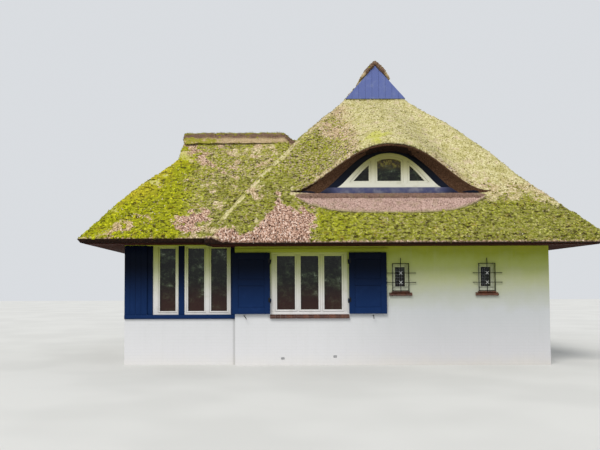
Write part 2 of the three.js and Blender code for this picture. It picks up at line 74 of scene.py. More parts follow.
def wire(tree, kind, *values, settings=None, **named):
    """Adds a node to a tree and feeds its sockets, in order or by name, with values or other sockets."""
    node = tree.nodes.new(kind)
    for key, value in (settings or {}).items():
        setattr(node, key, value)
    live = [socket for socket in node.inputs if socket.enabled]
    by_name = {socket.name: socket for socket in reversed(live)}
    feeds = [*zip(live, values), *((by_name[name.replace("_", " ")], value) for name, value in named.items())]
    for socket, value in feeds:
        if isinstance(value, bpy.types.NodeSocket):
            tree.links.new(value, socket)
        else:
            socket.default_value = value
    return node


def out(node, name=None):
    """A node's socket by name, or its first live one."""
    return next(s for s in node.outputs if s.enabled and name in (None, s.name))


class Finish:
    """One material: the patterns are laid over each other and end in its shader."""

    def __init__(self, name, roughness=0.8, metallic=0.0, specular=0.5):
        self.material = bpy.data.materials.new(name)
        self.material.use_nodes = True
        self.tree = self.material.node_tree
        self.shader = self.tree.nodes["Principled BSDF"]
        looks = {"Roughness": roughness, "Metallic": metallic, "Specular IOR Level": specular}
        for label, value in looks.items():
            self.shader.inputs[label].default_value = value
        self.place = out(self.add("ShaderNodeTexCoord"), "Object")

    def add(self, kind, *values, settings=None, **named):
        return wire(self.tree, kind, *values, settings=settings, **named)

    def axes(self):
        node = self.add("ShaderNodeSeparateXYZ", self.place)
        return [node.outputs[name] for name in "XYZ"]

    def stretched(self, *scale):
        return out(self.add("ShaderNodeMapping", Vector=self.place, Scale=scale))

    def grain(self, scale, detail=3, place=None, roughness=0.55):
        return out(self.add("ShaderNodeTexNoise", Vector=place or self.place, Scale=scale, Detail=detail,
                            Roughness=roughness))

    def ramp(self, value, *stops):
        """Turns a value into colours, given as (place, colour) stops."""
        node = self.add("ShaderNodeValToRGB", value)
        marks = node.color_ramp.elements
        marks.remove(marks[1])
        marks[0].position, marks[0].color = stops[0][0], tint(stops[0][1])
        for place, code in stops[1:]:
            marks.new(place).color = tint(code)
        return out(node)

    def span(self, value, low, high, low_out=0.0, high_out=1.0):
        """Maps low..high onto low_out..high_out, with soft ends."""
        return out(self.add("ShaderNodeMapRange", value, low, high, low_out, high_out,
                            settings={"interpolation_type": "SMOOTHSTEP"}))

    def mix(self, share, first, second, blend="MIX"):
        first, second = (tint(colour) if isinstance(colour, str) else colour for colour in (first, second))
        return out(self.add("ShaderNodeMix", Factor=share, A=first, B=second,
                            settings={"data_type": "RGBA", "blend_type": blend}))

    def over(self, colour, other, value, low, high, most=1.0):
        """Lays another colour on the first, by up to most, where a value goes from low to high."""
        return self.mix(self.span(value, low, high, 0.0, most), colour, other)

    def sums(self, operation, *values):
        return out(self.add("ShaderNodeMath", *values, settings={"operation": operation}))

    def times(self, *values):
        return self.sums("MULTIPLY", *values)

    def plus(self, value, other, share):
        """A value with a share of another on top."""
        return self.sums("MULTIPLY_ADD", other, share, value)

    def swayed(self, value, other, share):
        """A value that moves up or down with how far another lies from its middle."""
        return self.plus(value, self.sums("SUBTRACT", other, 0.5), share)

    def lone(self, strip):
        """One value at random for each tile or board, as counted by strip."""
        return out(self.add("ShaderNodeTexWhiteNoise", self.sums("FLOOR", strip),
                            settings={"noise_dimensions": "1D"}), "Value")

    def mark(self, name):
        """A value that the piece's mesh carries under this name."""
        return out(self.add("ShaderNodeAttribute", settings={"attribute_name": name}), "Fac")

    def done(self, colour, height=None, depth=0.004, roughness=None):
        self.tree.links.new(colour, self.shader.inputs["Base Color"])
        if roughness is not None:
            self.tree.links.new(roughness, self.shader.inputs["Roughness"])
        if height is not None:
            bump = self.add("ShaderNodeBump", Height=height, Distance=depth, Strength=1.0)
            self.tree.links.new(out(bump), self.shader.inputs["Normal"])
        return self.material


def wall_paint():
    """White paint over brick courses of 62.5 mm, olive green at the top: mostly painted shade from the eaves,
    partly a damp stain.
    """
    wall = Finish("painted_brick", roughness=0.85)
    x, y, z = wall.axes()
    course = out(wall.add("ShaderNodeCombineXYZ", wall.sums("ADD", x, y), z))
    joint = out(wall.add("ShaderNodeTexBrick", Vector=course, Scale=1.0, Brick_Width=0.22, Row_Height=0.0625,
                         Mortar_Size=0.006, Mortar_Smooth=0.9), "Fac")
    brushed = wall.grain(3, 5)
    streaks = wall.grain(1, 4, wall.stretched(7, 7, 0.8))
    height = wall.sums("DIVIDE", wall.swayed(z, brushed, 0.3), 2.5)
    # Painted shade: the ramp runs from white up to dark olive green under the eaves, with green bounced light.
    white = wall.ramp(height, (0.0, "cbc8c4"), (0.1, "c5c5c8"), (0.42, "b9bcbe"), (0.56, "acb0a2"),
                      (0.68, "abb085"), (0.8, "a1ab58"), (0.9, "929c26"), (0.97, "a2a820"))
    washed = wall.times(wall.span(x, 0.8, -2.0, 0, 0.42), wall.span(z, 1.5, 1.0))
    white = wall.mix(washed, white, "e8e8ea")
    white = wall.over(white, "9a9c92", streaks, 0.5, 0.8, 0.06)
    white = wall.over(white, "dcdde0", streaks, 0.5, 0.2, 0.04)
    white = wall.mix(wall.times(joint, 0.06), white, "8d8e88")
    # Painted shade: a thin dark line on the wing wall where it meets the corner of the main wall.
    corner = wall.times(wall.span(x, -3.37, -3.325, 0, 0.3), wall.span(x, -3.3, -3.304))
    white = wall.mix(corner, white, "54544e")
    relief = wall.plus(wall.times(joint, -0.25), wall.grain(90, 2), 0.3)
    return wall.done(white, wall.plus(relief, brushed, 1.4), depth=0.0025)


def dress(material, *nodes):
    """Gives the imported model's own pieces their finish."""
    for name in nodes:
        slots = frame["nodes"][name].data.materials
        slots.clear()
        slots.append(material)


dress(wall_paint(), *(n for n in frame["nodes"] if n.endswith("_wall")))


# Floors
# A screed on the ground floor, and pine boards on the attic floor, seen only through the windows.
# They run through the main block and the wing.
def screed():
    floor = Finish("screed", roughness=0.7)
    colour = floor.ramp(floor.grain(3, 5), (0.3, "86807a"), (0.7, "a49c90"))
    return floor.done(colour, floor.grain(120, 2), depth=0.001)


def board_wood(name, dark, light, width):
    """Boards laid side by side, each of a slightly different brown, with the grain along them."""
    wood = Finish(name, roughness=0.85, specular=0.08)
    _, y, _ = wood.axes()
    strip = wood.sums("DIVIDE", y, width)
    fibre = wood.grain(1, 6, wood.stretched(1.6, 24, 24))
    shade = wood.plus(wood.times(fibre, 0.7), wood.lone(strip), 0.3)
    groove = wood.span(wood.sums("PINGPONG", strip, 0.5), 0.0, 0.04)
    colour = wood.mix(groove, "1a120c", wood.ramp(shade, (0.3, dark), (0.7, light)))
    return wood.done(colour, wood.plus(groove, fibre, 0.3), depth=0.003)


dress(screed(), "ground_floor")
dress(board_wood("pine_boards", "7a5733", "a98455", 0.14), "attic_floor")


# Sills
# The front windows stand on sills of dark red-brown glazed tiles, set side by side with a rounded nose.
# Those of the small windows have a second, shorter course above.
TILE_WIDTH = 0.108
TILE_JOINT = 0.004


def glazed_tile():
    tile = Finish("glazed_sill_tile", roughness=0.38)
    x, _, _ = tile.axes()
    burnt = tile.grain(26, 4)
    hue = tile.plus(tile.times(burnt, 0.6), tile.lone(tile.sums("DIVIDE", x, TILE_WIDTH)), 0.4)
    colour = tile.ramp(hue, (0.25, "3a1c12"), (0.55, "54301f"), (0.85, "6b3d28"))
    colour = tile.over(colour, "6a5a48", tile.grain(9, 4), 0.55, 0.75, 0.25)
    return tile.done(colour, burnt, depth=0.002, roughness=tile.span(burnt, 0.3, 0.7, 0.25, 0.6))


def bars(boxes, ease=0.003, segments=2):
    """Bars and boards with eased edges, each given as its spans in x, y and z, in one mesh."""
    mesh = bmesh.new()
    for spans in boxes:
        low, high = zip(*spans)
        made = bmesh.ops.create_cube(mesh, size=1)["verts"]
        for vert in made:
            vert.co = Vector([low[i] if vert.co[i] < 0 else high[i] for i in range(3)])
        limit = min(h - l for l, h in zip(low, high)) * 0.4
        edges = {edge for vert in made for edge in vert.link_edges}
        bmesh.ops.bevel(mesh, geom=list(edges), offset=min(ease, limit), segments=segments, profile=0.6,
                        affect="EDGES")
    return mesh


def tube(mesh, rings, closed=False):
    """Sides from ring to ring of points that run the same way round; closed joins the last to the first."""
    for ring, following in zip(rings, rings[1:] + rings[:closed]):
        for i, point in enumerate(ring):
            j = (i + 1) % len(ring)
            mesh.faces.new((point, ring[j], following[j], following[i]))


def block(mesh, rings):
    """A solid between two rings of points."""
    mesh.faces.new(rings[0][::-1])
    mesh.faces.new(rings[1])
    tube(mesh, rings)


def outwards(mesh):
    """Turns all faces to the outside."""
    bmesh.ops.recalc_face_normals(mesh, faces=mesh.faces)
    return mesh


def piece(name, shape, material, body="house", replaces=(), crease=35):
    """Turns a finished shape into a piece of the house that rides on a body."""
    mesh = shape
    if isinstance(shape, bmesh.types.BMesh):
        mesh = bpy.data.meshes.new(name)
        shape.normal_update()
        shape.to_mesh(mesh)
        shape.free()
    mesh.name = name
    mesh.materials.clear()
    mesh.materials.append(material)
    mesh.shade_smooth()
    mesh.set_sharp_from_angle(angle=math.radians(crease))
    made = bpy.data.objects.new(name, mesh)
    bpy.context.scene.collection.objects.link(made)
    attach(made, body)
    if replaces:
        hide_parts(*replaces)
    return made


def sill_tiles(low, high):
    """A row of tiles from end to end of a sill, each falling to a round nose at the front."""
    count = round((high.x - low.x) / TILE_WIDTH)
    step = (high.x - low.x) / count
    nose = (high.z - low.z) * 0.32
    brink = high.z - (high.z - low.z) * 0.3
    profile = [(high.y, low.z), (high.y, high.z), (low.y + nose, brink)]
    for i in range(7):
        turn = math.pi / 2 + math.pi / 2 * i / 6
        profile.append((low.y + nose + nose * math.cos(turn), brink - nose + nose * math.sin(turn)))
    profile += [(low.y, low.z + 0.01), (low.y + 0.01, low.z)]
    mesh = bmesh.new()
    for i in range(count):
        ends = [low.x + i * step + TILE_JOINT / 2, low.x + (i + 1) * step - TILE_JOINT / 2]
        block(mesh, [[mesh.verts.new((x, y, z)) for y, z in profile] for x in ends])
    return outwards(mesh)


tile = glazed_tile()
for window in ("main_window", "left_small", "right_small"):
    low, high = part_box(f"{window}_sill")
    piece(f"{window}_sill_tiles", sill_tiles(low, high), tile, replaces=[f"{window}_sill"])
    if window != "main_window":
        step_low = Vector((low.x + 0.05, low.y + 0.008, high.z - 0.004))
        step_high = Vector((high.x - 0.05, high.y, high.z + 0.03))
        piece(f"{window}_sill_step", sill_tiles(step_low, step_high), tile)


# Windows with three lights
# Joinery in cream gloss paint: a fixed frame, two mullions, and a sash with a shadow gap in each light.
# The front one has no board of its own below; those of the other sides stand on a cream board.
WINDOW_WIDTH, WINDOW_FOOT, WINDOW_HEAD = 1.528, 1.016, 2.25
THREE_LIGHTS = [(0.116, 0.476), (0.592, 0.948), (1.064, 1.416)]
PANE_HEIGHT = (1.106, 2.18)
SASH_GAP, SASH_RECESS = 0.002, 0.008


def gloss_paint(name, base, worn, top=None, rise=(1.25, 2.35), sheen=0.5):
    """Brushed oil paint: faint brush marks and soil, and, where given, a top colour from one height up to the
    other, which is painted shade.
    """
    paint = Finish(name, roughness=0.38, specular=sheen)
    _, _, z = paint.axes()
    brush = paint.grain(1, 4, paint.stretched(70, 70, 6))
    cloud = paint.grain(7, 5)
    colour = paint.over(base, worn, cloud, 0.5, 0.8, 0.7)
    colour = paint.over(colour, worn, brush, 0.55, 0.8, 0.25)
    # Painted shade: the top colour darkens the paint upwards, under the eaves or the brow.
    if top:
        colour = paint.over(colour, top, z, *rise, 0.9)
    return paint.done(colour, brush, depth=0.0006, roughness=paint.span(cloud, 0.3, 0.7, 0.3, 0.5))


def window_glass():
    """Panes painted dark for the shade of the room behind, with a mottled painted reflection, red-brown near
    the sill and golden in the dormer.
    """
    glass = Finish("window_glass", roughness=0.03, specular=0.25)
    glass.shader.inputs["IOR"].default_value = 1.52
    _, _, z = glass.axes()
    # Painted reflection: dark and pale mottling, with dark flecks, laid over the dark panes.
    reflection_mottle = glass.grain(3.2, 5, glass.stretched(1, 1, 1.5), roughness=0.7)
    flecks = glass.grain(16, 4, roughness=0.75)
    dark = glass.ramp(reflection_mottle, (0.36, "0b0c0a"), (0.5, "1d2118"), (0.6, "3a4430"), (0.7, "8a957e"))
    dark = glass.over(dark, "0a0b09", flecks, 0.45, 0.6, 0.8)
    room = glass.mix(glass.span(z, 1.15, 1.8, 0.8, 0), dark, "2e120d")
    golden = glass.ramp(flecks, (0.4, "2e2408"), (0.52, "5e4c10"), (0.64, "98923a"))
    return glass.done(glass.over(room, golden, z, 3.92, 4.12, 0.8))


def joinery(width, bottom, top, panes, pane_span, face=0.0, depth=0.06, sash=0.038, clear=0.0003):
    """Frame, mullions and sashes of a window, drawn with its left jamb at x 0 and the wall's face at y 0."""
    lights = [(a - sash, b + sash) for a, b in panes]
    low, high = pane_span[0] - sash, pane_span[1] + sash
    left, right = clear, width - clear
    thick, sunk = (face, face + depth), (face + SASH_RECESS, face + depth)
    parts = [((left, right), thick, (bottom + clear, low)), ((left, right), thick, (high, top - clear))]
    posts = [left, *(x for light in lights for x in light), right]
    parts += [((a, b), thick, (low, high)) for a, b in zip(posts[::2], posts[1::2])]
    low_gap, high_gap = low + SASH_GAP, high - SASH_GAP
    for (a, b), pane in zip(lights, panes):
        a, b = a + SASH_GAP, b - SASH_GAP
        parts += [(span, sunk, (low_gap, high_gap)) for span in ((a, pane[0]), (pane[1], b))]
        parts += [(pane, sunk, span) for span in ((low_gap, pane_span[0]), (pane_span[1], high_gap))]
        parts.append(((a, b), (face - 0.01, face + SASH_RECESS), (low + 0.006, low + 0.02)))
    return bars(parts, ease=0.004)


def take_in(shape, other):
    """Adds a second shape to the first, for good."""
    scrap = bpy.data.meshes.new("scrap")
    other.to_mesh(scrap)
    other.free()
    shape.from_mesh(scrap)
    bpy.data.meshes.remove(scrap)


def on_wall(quarter_turns, x, y):
    return Matrix.Translation((x, y, 0)) @ Matrix.Rotation(quarter_turns * math.pi / 2, 4, "Z")


# The olive green top of the cream paint is painted shade under the eaves.
cream = gloss_paint("cream_gloss_paint", "d3d1d0", "bcb8ae", top="9da61e", rise=(1.15, 2.35))
glass = window_glass()
corners = {name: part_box(f"{name}_window_frame") for name in ("main", "back", "east", "west")}
places = {
    "main": on_wall(0, corners["main"][0].x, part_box("main_front_wall")[0].y),
    "back": on_wall(2, corners["back"][1].x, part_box("main_back_wall")[1].y),
    "east": on_wall(1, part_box("main_east_wall")[1].x, corners["east"][0].y),
    "west": on_wall(3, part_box("wing_west_wall")[0].x, corners["west"][1].y),
}
for side, place in places.items():
    shape = joinery(WINDOW_WIDTH, WINDOW_FOOT, WINDOW_HEAD, THREE_LIGHTS, PANE_HEIGHT, face=0.02)
    if side != "main":
        take_in(shape, bars([((0, WINDOW_WIDTH), (-0.05, 0.02), (WINDOW_FOOT + 0.001, WINDOW_FOOT + 0.038))]))
    shape.transform(place)
    piece(f"{side}_window_joinery", shape, cream, replaces=[f"{side}_window_frame"])
dress(glass, *(n for n in frame["nodes"] if n.endswith("_glass")))


# Wing window band
# Two cream frames between navy posts, on a navy rail and sill board, with a navy panel at the wing's corner.
# All of it is painted wood, nailed to the wing's timber front.
WING_POSTS = [(-5.09, -4.97), (-4.452, -4.332), (-3.392, -3.3006)]
WING_UNITS = [((-4.97, -4.452), [(-4.833, -4.513)]), ((-4.332, -3.392), [(-4.259, -3.931), (-3.793, -3.471)])]
WING_FACE = -4.1303
# The navy turns near black towards the top: painted shade under the eaves.
navy = gloss_paint("navy_gloss_paint", "132a53", "1a325e", top="040608", rise=(1.0, 2.05), sheen=0.05)
low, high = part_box("wing_window_frame")
posts = [((a + 0.0005, b - 0.0005), (low.y - 0.012, high.y), (low.z, high.z)) for a, b in WING_POSTS]
piece("wing_window_posts", bars(posts, ease=0.005), navy, replaces=["wing_window_frame"])
for number, ((a, b), panes) in enumerate(WING_UNITS, start=1):
    shape = joinery(b - a, low.z, high.z, [(p - a, q - a) for p, q in panes], (1.076, 2.35), face=0.003,
                    depth=0.057, sash=0.03)
    shape.transform(Matrix.Translation((a, low.y, 0)))
    piece(f"wing_window_{number}_joinery", shape, cream, replaces=["wing_window_frame"])

low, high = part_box("wing_window_sill")
sill_parts = [((low.x, high.x), (low.y, WING_FACE), (low.z + 0.012, high.z)),
              ((WING_POSTS[0][0] + 0.0003, high.x), (-4.14, high.y), (low.z, high.z - 0.001)),
              ((low.x, high.x), (low.y + 0.014, WING_FACE), (low.z, low.z + 0.012))]
piece("wing_sill_board", bars(sill_parts, ease=0.004), navy, replaces=["wing_window_sill"])
low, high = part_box("wing_corner_panel")
joints = np.linspace(low.x, high.x, 5)
starts, ends = joints[:-1] + 0.0008, joints[1:] - 0.0008
ends[-1] = high.x + 0.006
boards = [(span, (low.y, high.y), (low.z, high.z)) for span in zip(starts, ends)]
piece("wing_corner_boards", bars(boards, ease=0.005), navy, replaces=["wing_corner_panel"])


# Small windows and their grilles
# Each is one fixed light with leaded panes in a cream frame, behind a forged grille that stands off the wall.
# The two long cross bars are let into the wall, and a small forged cross sits where each crosses the upright.
LEADED = (1.56, 1.925)


def forged_iron():
    iron = Finish("black_iron", roughness=0.6, metallic=0.2, specular=0.2)
    scale = iron.grain(60, 4)
    colour = iron.ramp(scale, (0.35, "08090a"), (0.7, "191a19"))
    colour = iron.over(colour, "2e1c12", iron.grain(22, 4), 0.6, 0.75, 0.5)
    return iron.done(colour, scale, depth=0.001)


def lead():
    came = Finish("lead_came", roughness=0.55, metallic=0.3)
    colour = came.ramp(came.grain(80, 3), (0.3, "55585c"), (0.7, "85888c"))
    return came.done(colour, came.grain(200, 2), depth=0.0005)


iron = forged_iron()
came = lead()
pale_iron = gloss_paint("pale_paint_on_iron", "d9dbd6", "a9aca8")
# The olive green top of this cream is painted shade under the eaves.
cream_with_painted_shade = gloss_paint("small_window_paint", "c3c6b8", "a5a898", top="939c20")
dress(iron, *(n for n in frame["nodes"] if n.endswith(("_grille", "_pintle"))))
for side in ("left", "right"):
    low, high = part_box(f"{side}_small_window_frame")
    middle = (low.x + high.x) / 2
    shape = joinery(high.x - low.x, low.z, high.z, [(high.x - middle - 0.095, high.x - middle + 0.105)],
                    (LEADED[0], 1.95), sash=0.03, clear=0.0)
    shape.transform(Matrix.Translation((low.x, low.y, 0)))
    piece(f"{side}_small_window_joinery", shape, cream_with_painted_shade,
          replaces=[f"{side}_small_window_frame"])
    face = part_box(f"{side}_small_window_glass")[0].y - 0.0003
    leading = [((middle + x - 0.003, middle + x + 0.003), (face - 0.006, face), LEADED)
               for x in (-0.042, 0, 0.042)]
    leading += [((middle - 0.085, middle + 0.085), (face - 0.005, face), (z - 0.003, z + 0.003))
                for z in np.linspace(1.62, 1.865, 5)]
    piece(f"{side}_leading", bars(leading, ease=0.002, segments=1), came)
    crosses = bmesh.new()
    for z in (1.64, 1.828):
        for lean in (-48, 48):
            arm = bars([((-0.04, 0.04), (-0.004, 0.004), (-0.0035, 0.0035))], ease=0.002)
            arm.transform(Matrix.Translation((middle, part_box(f"{side}_grille")[0].y - 0.005, z)) @
                          Matrix.Rotation(math.radians(lean), 4, "Y"))
            take_in(crosses, arm)
    piece(f"{side}_grille_crosses", crosses, pale_iron)


# Lintel board
# A painted softwood board above the window, close below the eaves.
# It is nailed flat to the wall, and its olive green, like that at the top of the wall beside it, is painted
# shade from the eaves.
shaded_board_paint = gloss_paint("wall_board_paint", "919a1c", "868f16", sheen=0.2)
low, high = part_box("lintel_board")
piece("lintel_board_face", bars([zip(low, high)], ease=0.004), shaded_board_paint,
      replaces=["lintel_board"])


# Shutters
# A pair of framed wooden leaves with two fielded panels each, in navy gloss paint, hung on forged pintles.
# Holdbacks of black iron, driven into the wall below, keep them open.
LEAF_WIDTH, STILE, RAIL = 0.75, 0.115, 0.125
MIDDLE_RAIL = (1.586, 1.71)
PIN_TO_EDGE, HINGES = 0.014, (1.3, 2.08)
HINGE_RING = ((0.0063, -0.022), (0.012, -0.022), (0.012, 0.022), (0.0063, 0.022))
BEVEL = ((-0.002, 0.011), (0.006, 0.011), (0.022, 0.0), (0.03, 0.0))


def leaf(low, high, axis, turned):
    """One leaf in its open place, with the rings that turn on the pintles."""
    near = axis.x - turned * PIN_TO_EDGE

    def across(a, b):
        return tuple(sorted((near - turned * a, near - turned * b)))

    parts = [(across(a, a + STILE), (low.y, high.y), (low.z, high.z)) for a in (0, LEAF_WIDTH - STILE)]
    fields = [(low.z + RAIL, MIDDLE_RAIL[0]), (MIDDLE_RAIL[1], high.z - RAIL)]
    for span in ((low.z, fields[0][0]), MIDDLE_RAIL, (fields[1][1], high.z)):
        parts.append((across(STILE, LEAF_WIDTH - STILE), (low.y, high.y), span))
    panels = bmesh.new()
    for bottom, top in fields:
        rims = []
        for face, way in ((low.y + 0.003, 1), (high.y - 0.003, -1)):
            rings = []
            for inset, depth in BEVEL:
                x0, x1 = across(STILE + inset, LEAF_WIDTH - STILE - inset)
                z0, z1, y = bottom + inset, top - inset, face + way * depth
                corners = ((x0, y, z0), (x1, y, z0), (x1, y, z1), (x0, y, z1))
                rings.append([panels.verts.new(corner) for corner in corners])
            tube(panels, rings)
            panels.faces.new(rings[-1])
            rims.append(rings[0])
        tube(panels, rims)
    turns = [2 * math.pi * i / 20 for i in range(20)]
    for z in HINGES:
        rings = []
        for radius, rise in HINGE_RING:
            ways = [Vector((radius * math.cos(a), radius * math.sin(a), z + rise)) for a in turns]
            rings.append([panels.verts.new(axis.to_3d() + way) for way in ways])
        tube(panels, rings, closed=True)
    outwards(panels)
    mesh = bars(parts, ease=0.007)
    take_in(mesh, panels)
    return mesh


for side, turned in (("left", 1), ("right", -1)):
    low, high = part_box(f"{side}_shutter")
    axis = Vector((high.x - 0.012 if side == "left" else low.x + 0.012, (low.y + high.y) / 2))
    piece(f"{side}_shutter_leaf", leaf(low, high, axis, turned), navy, f"{side}_shutter_body",
          [f"{side}_shutter"])
    edge = axis.x - turned * PIN_TO_EDGE
    reach = sorted((edge, edge - turned * 0.036))
    straps = [(reach, (axis.y - 0.0215, axis.y - 0.0185), (z - 0.045, z + 0.045)) for z in HINGES]
    piece(f"{side}_hinge_plates", bars(straps, ease=0.001), iron, f"{side}_shutter_body")

for name, x, lean in (("left", -3.12, 0.05), ("right", -0.545, 0.003)):
    curve = bpy.data.curves.new(f"{name}_holdback", "CURVE")
    curve.dimensions = "3D"
    curve.bevel_depth = 0.0075
    curve.bevel_resolution = 3
    curve.use_fill_caps = True
    bend = curve.splines.new("BEZIER")
    way = [(x, -4.299, 0.985), (x, -4.345, 0.99), (x + 0.5 * lean, -4.372, 0.965), (x + lean, -4.378, 0.922)]
    bend.bezier_points.add(len(way) - 1)
    for point, at in zip(bend.bezier_points, way):
        point.co = at
        point.handle_left_type = point.handle_right_type = "AUTO"
    hook = bpy.data.objects.new(f"{name}_holdback", curve)
    bpy.context.scene.collection.objects.link(hook)
    baked = bpy.data.meshes.new_from_object(hook.evaluated_get(bpy.context.evaluated_depsgraph_get()))
    bpy.data.objects.remove(hook)
    bpy.data.curves.remove(curve)
    piece(f"{name}_holdback", baked, iron)


# Door in the east wall
# A plain ledged door of upright boards in a painted frame, with a forged handle.
# It is guessed, because that wall is out of sight.
JAMB, DOOR_BOARDS = 0.068, 7
low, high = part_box("east_door")
jambs = ((low.y, low.y + JAMB), (high.y - JAMB, high.y))
parts = [((low.x, high.x), jamb, (low.z, high.z)) for jamb in jambs]
parts.append(((low.x, high.x), (low.y + JAMB, high.y - JAMB), (high.z - JAMB, high.z)))
board, board_depth = (high.y - low.y - 0.14) / DOOR_BOARDS, (high.x - 0.068, high.x - 0.024)
for i in range(DOOR_BOARDS):
    start = low.y + 0.07 + i * board
    parts.append((board_depth, (start + 0.0012, start + board - 0.0012), (low.z, high.z - 0.07)))
for z in (0.3, 1.1, 1.9):
    parts.append(((high.x - 0.024, high.x - 0.006), (low.y + 0.09, high.y - 0.09), (z, z + 0.11)))
piece("east_door_boards", bars(parts, ease=0.005), navy, replaces=["east_door"])
handle = [((high.x - 0.006, high.x), (high.y - 0.17, high.y - 0.13), (1.07, 1.24)),
          ((high.x - 0.001, high.x + 0.04), (high.y - 0.156, high.y - 0.144), (1.14, 1.152)),
          ((high.x + 0.03, high.x + 0.042), (high.y - 0.27, high.y - 0.144), (1.14, 1.152))]
piece("east_door_handle", bars(handle, ease=0.003), iron)


# Boards under the eaves
# Rough pine boards, stained dark red-brown and nailed below the rafter feet.
# The reed's cut ends stand past them.
EAVE_BOARD, EAVE_GAP, EAVE_THICK = 0.098, 0.006, 0.016


def eave_boards(outer, inner, top):
    """Rings of boards between the wall and the foot of the thatch: outer and inner are (x0, x1, y0, y1)."""
    boards = []
    for axis in (1, 0):
        run = outer[:2] if axis else inner[2:]
        for side, turned in ((0, 1), (1, -1)):
            rim = outer[2 * axis + side]
            reach = abs(rim - inner[2 * axis + side])
            lines = round(reach / EAVE_BOARD)
            for i in range(lines):
                start = rim + turned * i * reach / lines
                across = sorted((start, start + turned * (reach / lines - EAVE_GAP)))
                boards.append((*((run, across) if axis else (across, run)), (top - EAVE_THICK, top)))
    return bars(boards)


stained = board_wood("stained_boards", "24100a", "472217", EAVE_BOARD)
for roof, rim, walls, top in (
        ("main", (-3.76, 3.76, -4.78, 4.78), (-3.3055, 2.9855, -4.3055, 4.3055), 2.3845),
        ("wing", (-6.235, -3.85, -4.64, 0.04), (-5.57, -3.85, -4.18, -0.4645), 2.4295)):
    piece(f"{roof}_eave_boards", eave_boards(rim, walls, top), stained)


# Thatch
# Reed laid 30 cm thick on the rafters and dressed to one soft skin, with round arrises and a wavering eave.
# Moss has grown over most of it. Where it has come off, the reed shows pinkish, and straw yellow on the brow.
BROW_X, BROW_HALF, BROW_Y, BROW_BULGE = -0.148, 2.09, -4.04, 0.35
BROW_FOOT, BROW_RISE = 3.5, 0.888
SLOPE_FOOT = 2.6
SKIN_EDGE, RIDGE_EDGE, HIDDEN_EDGE = 0.056, 0.045, 0.8
WALLS_X, WALLS_Y = (2.98, -3.3, -5.54), (4.3, -4.3, -4.13, -0.47)
RIM = 0.25
# Hips swollen outwards: foot, top, how far, how wide, and where the swelling sets in, is full and fades
HIPS = [((-3.83, -4.85, 2.6), (-0.77, -1.72, 6.06), 0.1, 0.7, (0.0, 0.35, 0.7)),
        ((3.83, -4.85, 2.6), (0.77, -1.72, 6.06), 0.1, 0.7, (0.3, 0.6, 0.72)),
        ((-6.295, -4.7, 2.59), (-4.62, -2.93, 4.4), 0.06, 0.6, (0.0, 0.4, 0.55))]
# The bare patch on the front, above the eave: x and the height up to which the moss is gone
BARE_EDGE = [(-3.8, 2.45), (-3.52, 2.72), (-3.15, 2.66), (-2.95, 2.68), (-2.76, 2.92), (-2.57, 3.05),
             (-2.45, 3.38), (-2.38, 3.4), (-2.3, 3.18), (-1.9, 3.16), (-1.84, 2.9), (-1.83, 2.4)]
# Smaller bare places on the front slopes: x, z, half width, half height, rise to the right, how bare
BARE_SPOTS = [(-4.15, 2.88, 0.33, 0.27, 0.5, 1.0), (-5.45, 2.72, 0.24, 0.09, 0, 0.65),
              (-1.78, 2.95, 0.12, 0.19, 0, 1.0), (-2.9, 3.42, 0.16, 0.09, -0.3, 0.6),
              (-4.32, 4.7, 0.12, 0.13, -0.8, 0.7), (-4.0, 4.38, 0.34, 0.08, -0.75, 0.8),
              (-3.66, 4.13, 0.14, 0.05, -0.5, 0.6), (-0.35, 2.86, 0.12, 0.08, 0, 0.42),
              (-3.76, 3.56, 0.1, 0.07, 0, 0.5)]


def ease(value, low, high):
    share = np.clip((value - low) / (high - low), 0, 1)
    return share * share * (3 - 2 * share)


def fade(value, low, high):
    return 1 - ease(value, low, high)


def bell(share):
    return (1 - np.minimum(1, np.abs(share)) ** 2.2) ** 2.3


def lumps(points, size, seed=0, octaves=1):
    """Smooth noise at each point, about -1 to 1, with lumps of that size in metres."""
    shift = Vector((seed * 7.31, seed * 3.17, seed * 5.73))
    return np.array([noise.fractal(Vector(p) / size + shift, 1.0, 2.0, octaves) for p in points])


def faces_out(face):
    """Whether a face of the thatch can be seen, and doesn't lie on the attic, the walls or the other roof."""
    (x, y, z), normal = face.calc_center_median(), face.normal
    under_brow = z > 3.3 and y < BROW_Y + 0.035 and normal.y < 0.35
    indoors = -5.6 < x < 3.1 and abs(y) < 4.4 and 2.3 < z < 2.7
    by_wall = any(abs(x - at) < 0.02 for at in WALLS_X) or any(abs(y - at) < 0.02 for at in WALLS_Y)
    return under_brow or (normal.z > -0.62 and not (indoors and abs(normal.z) < 0.2 and by_wall))


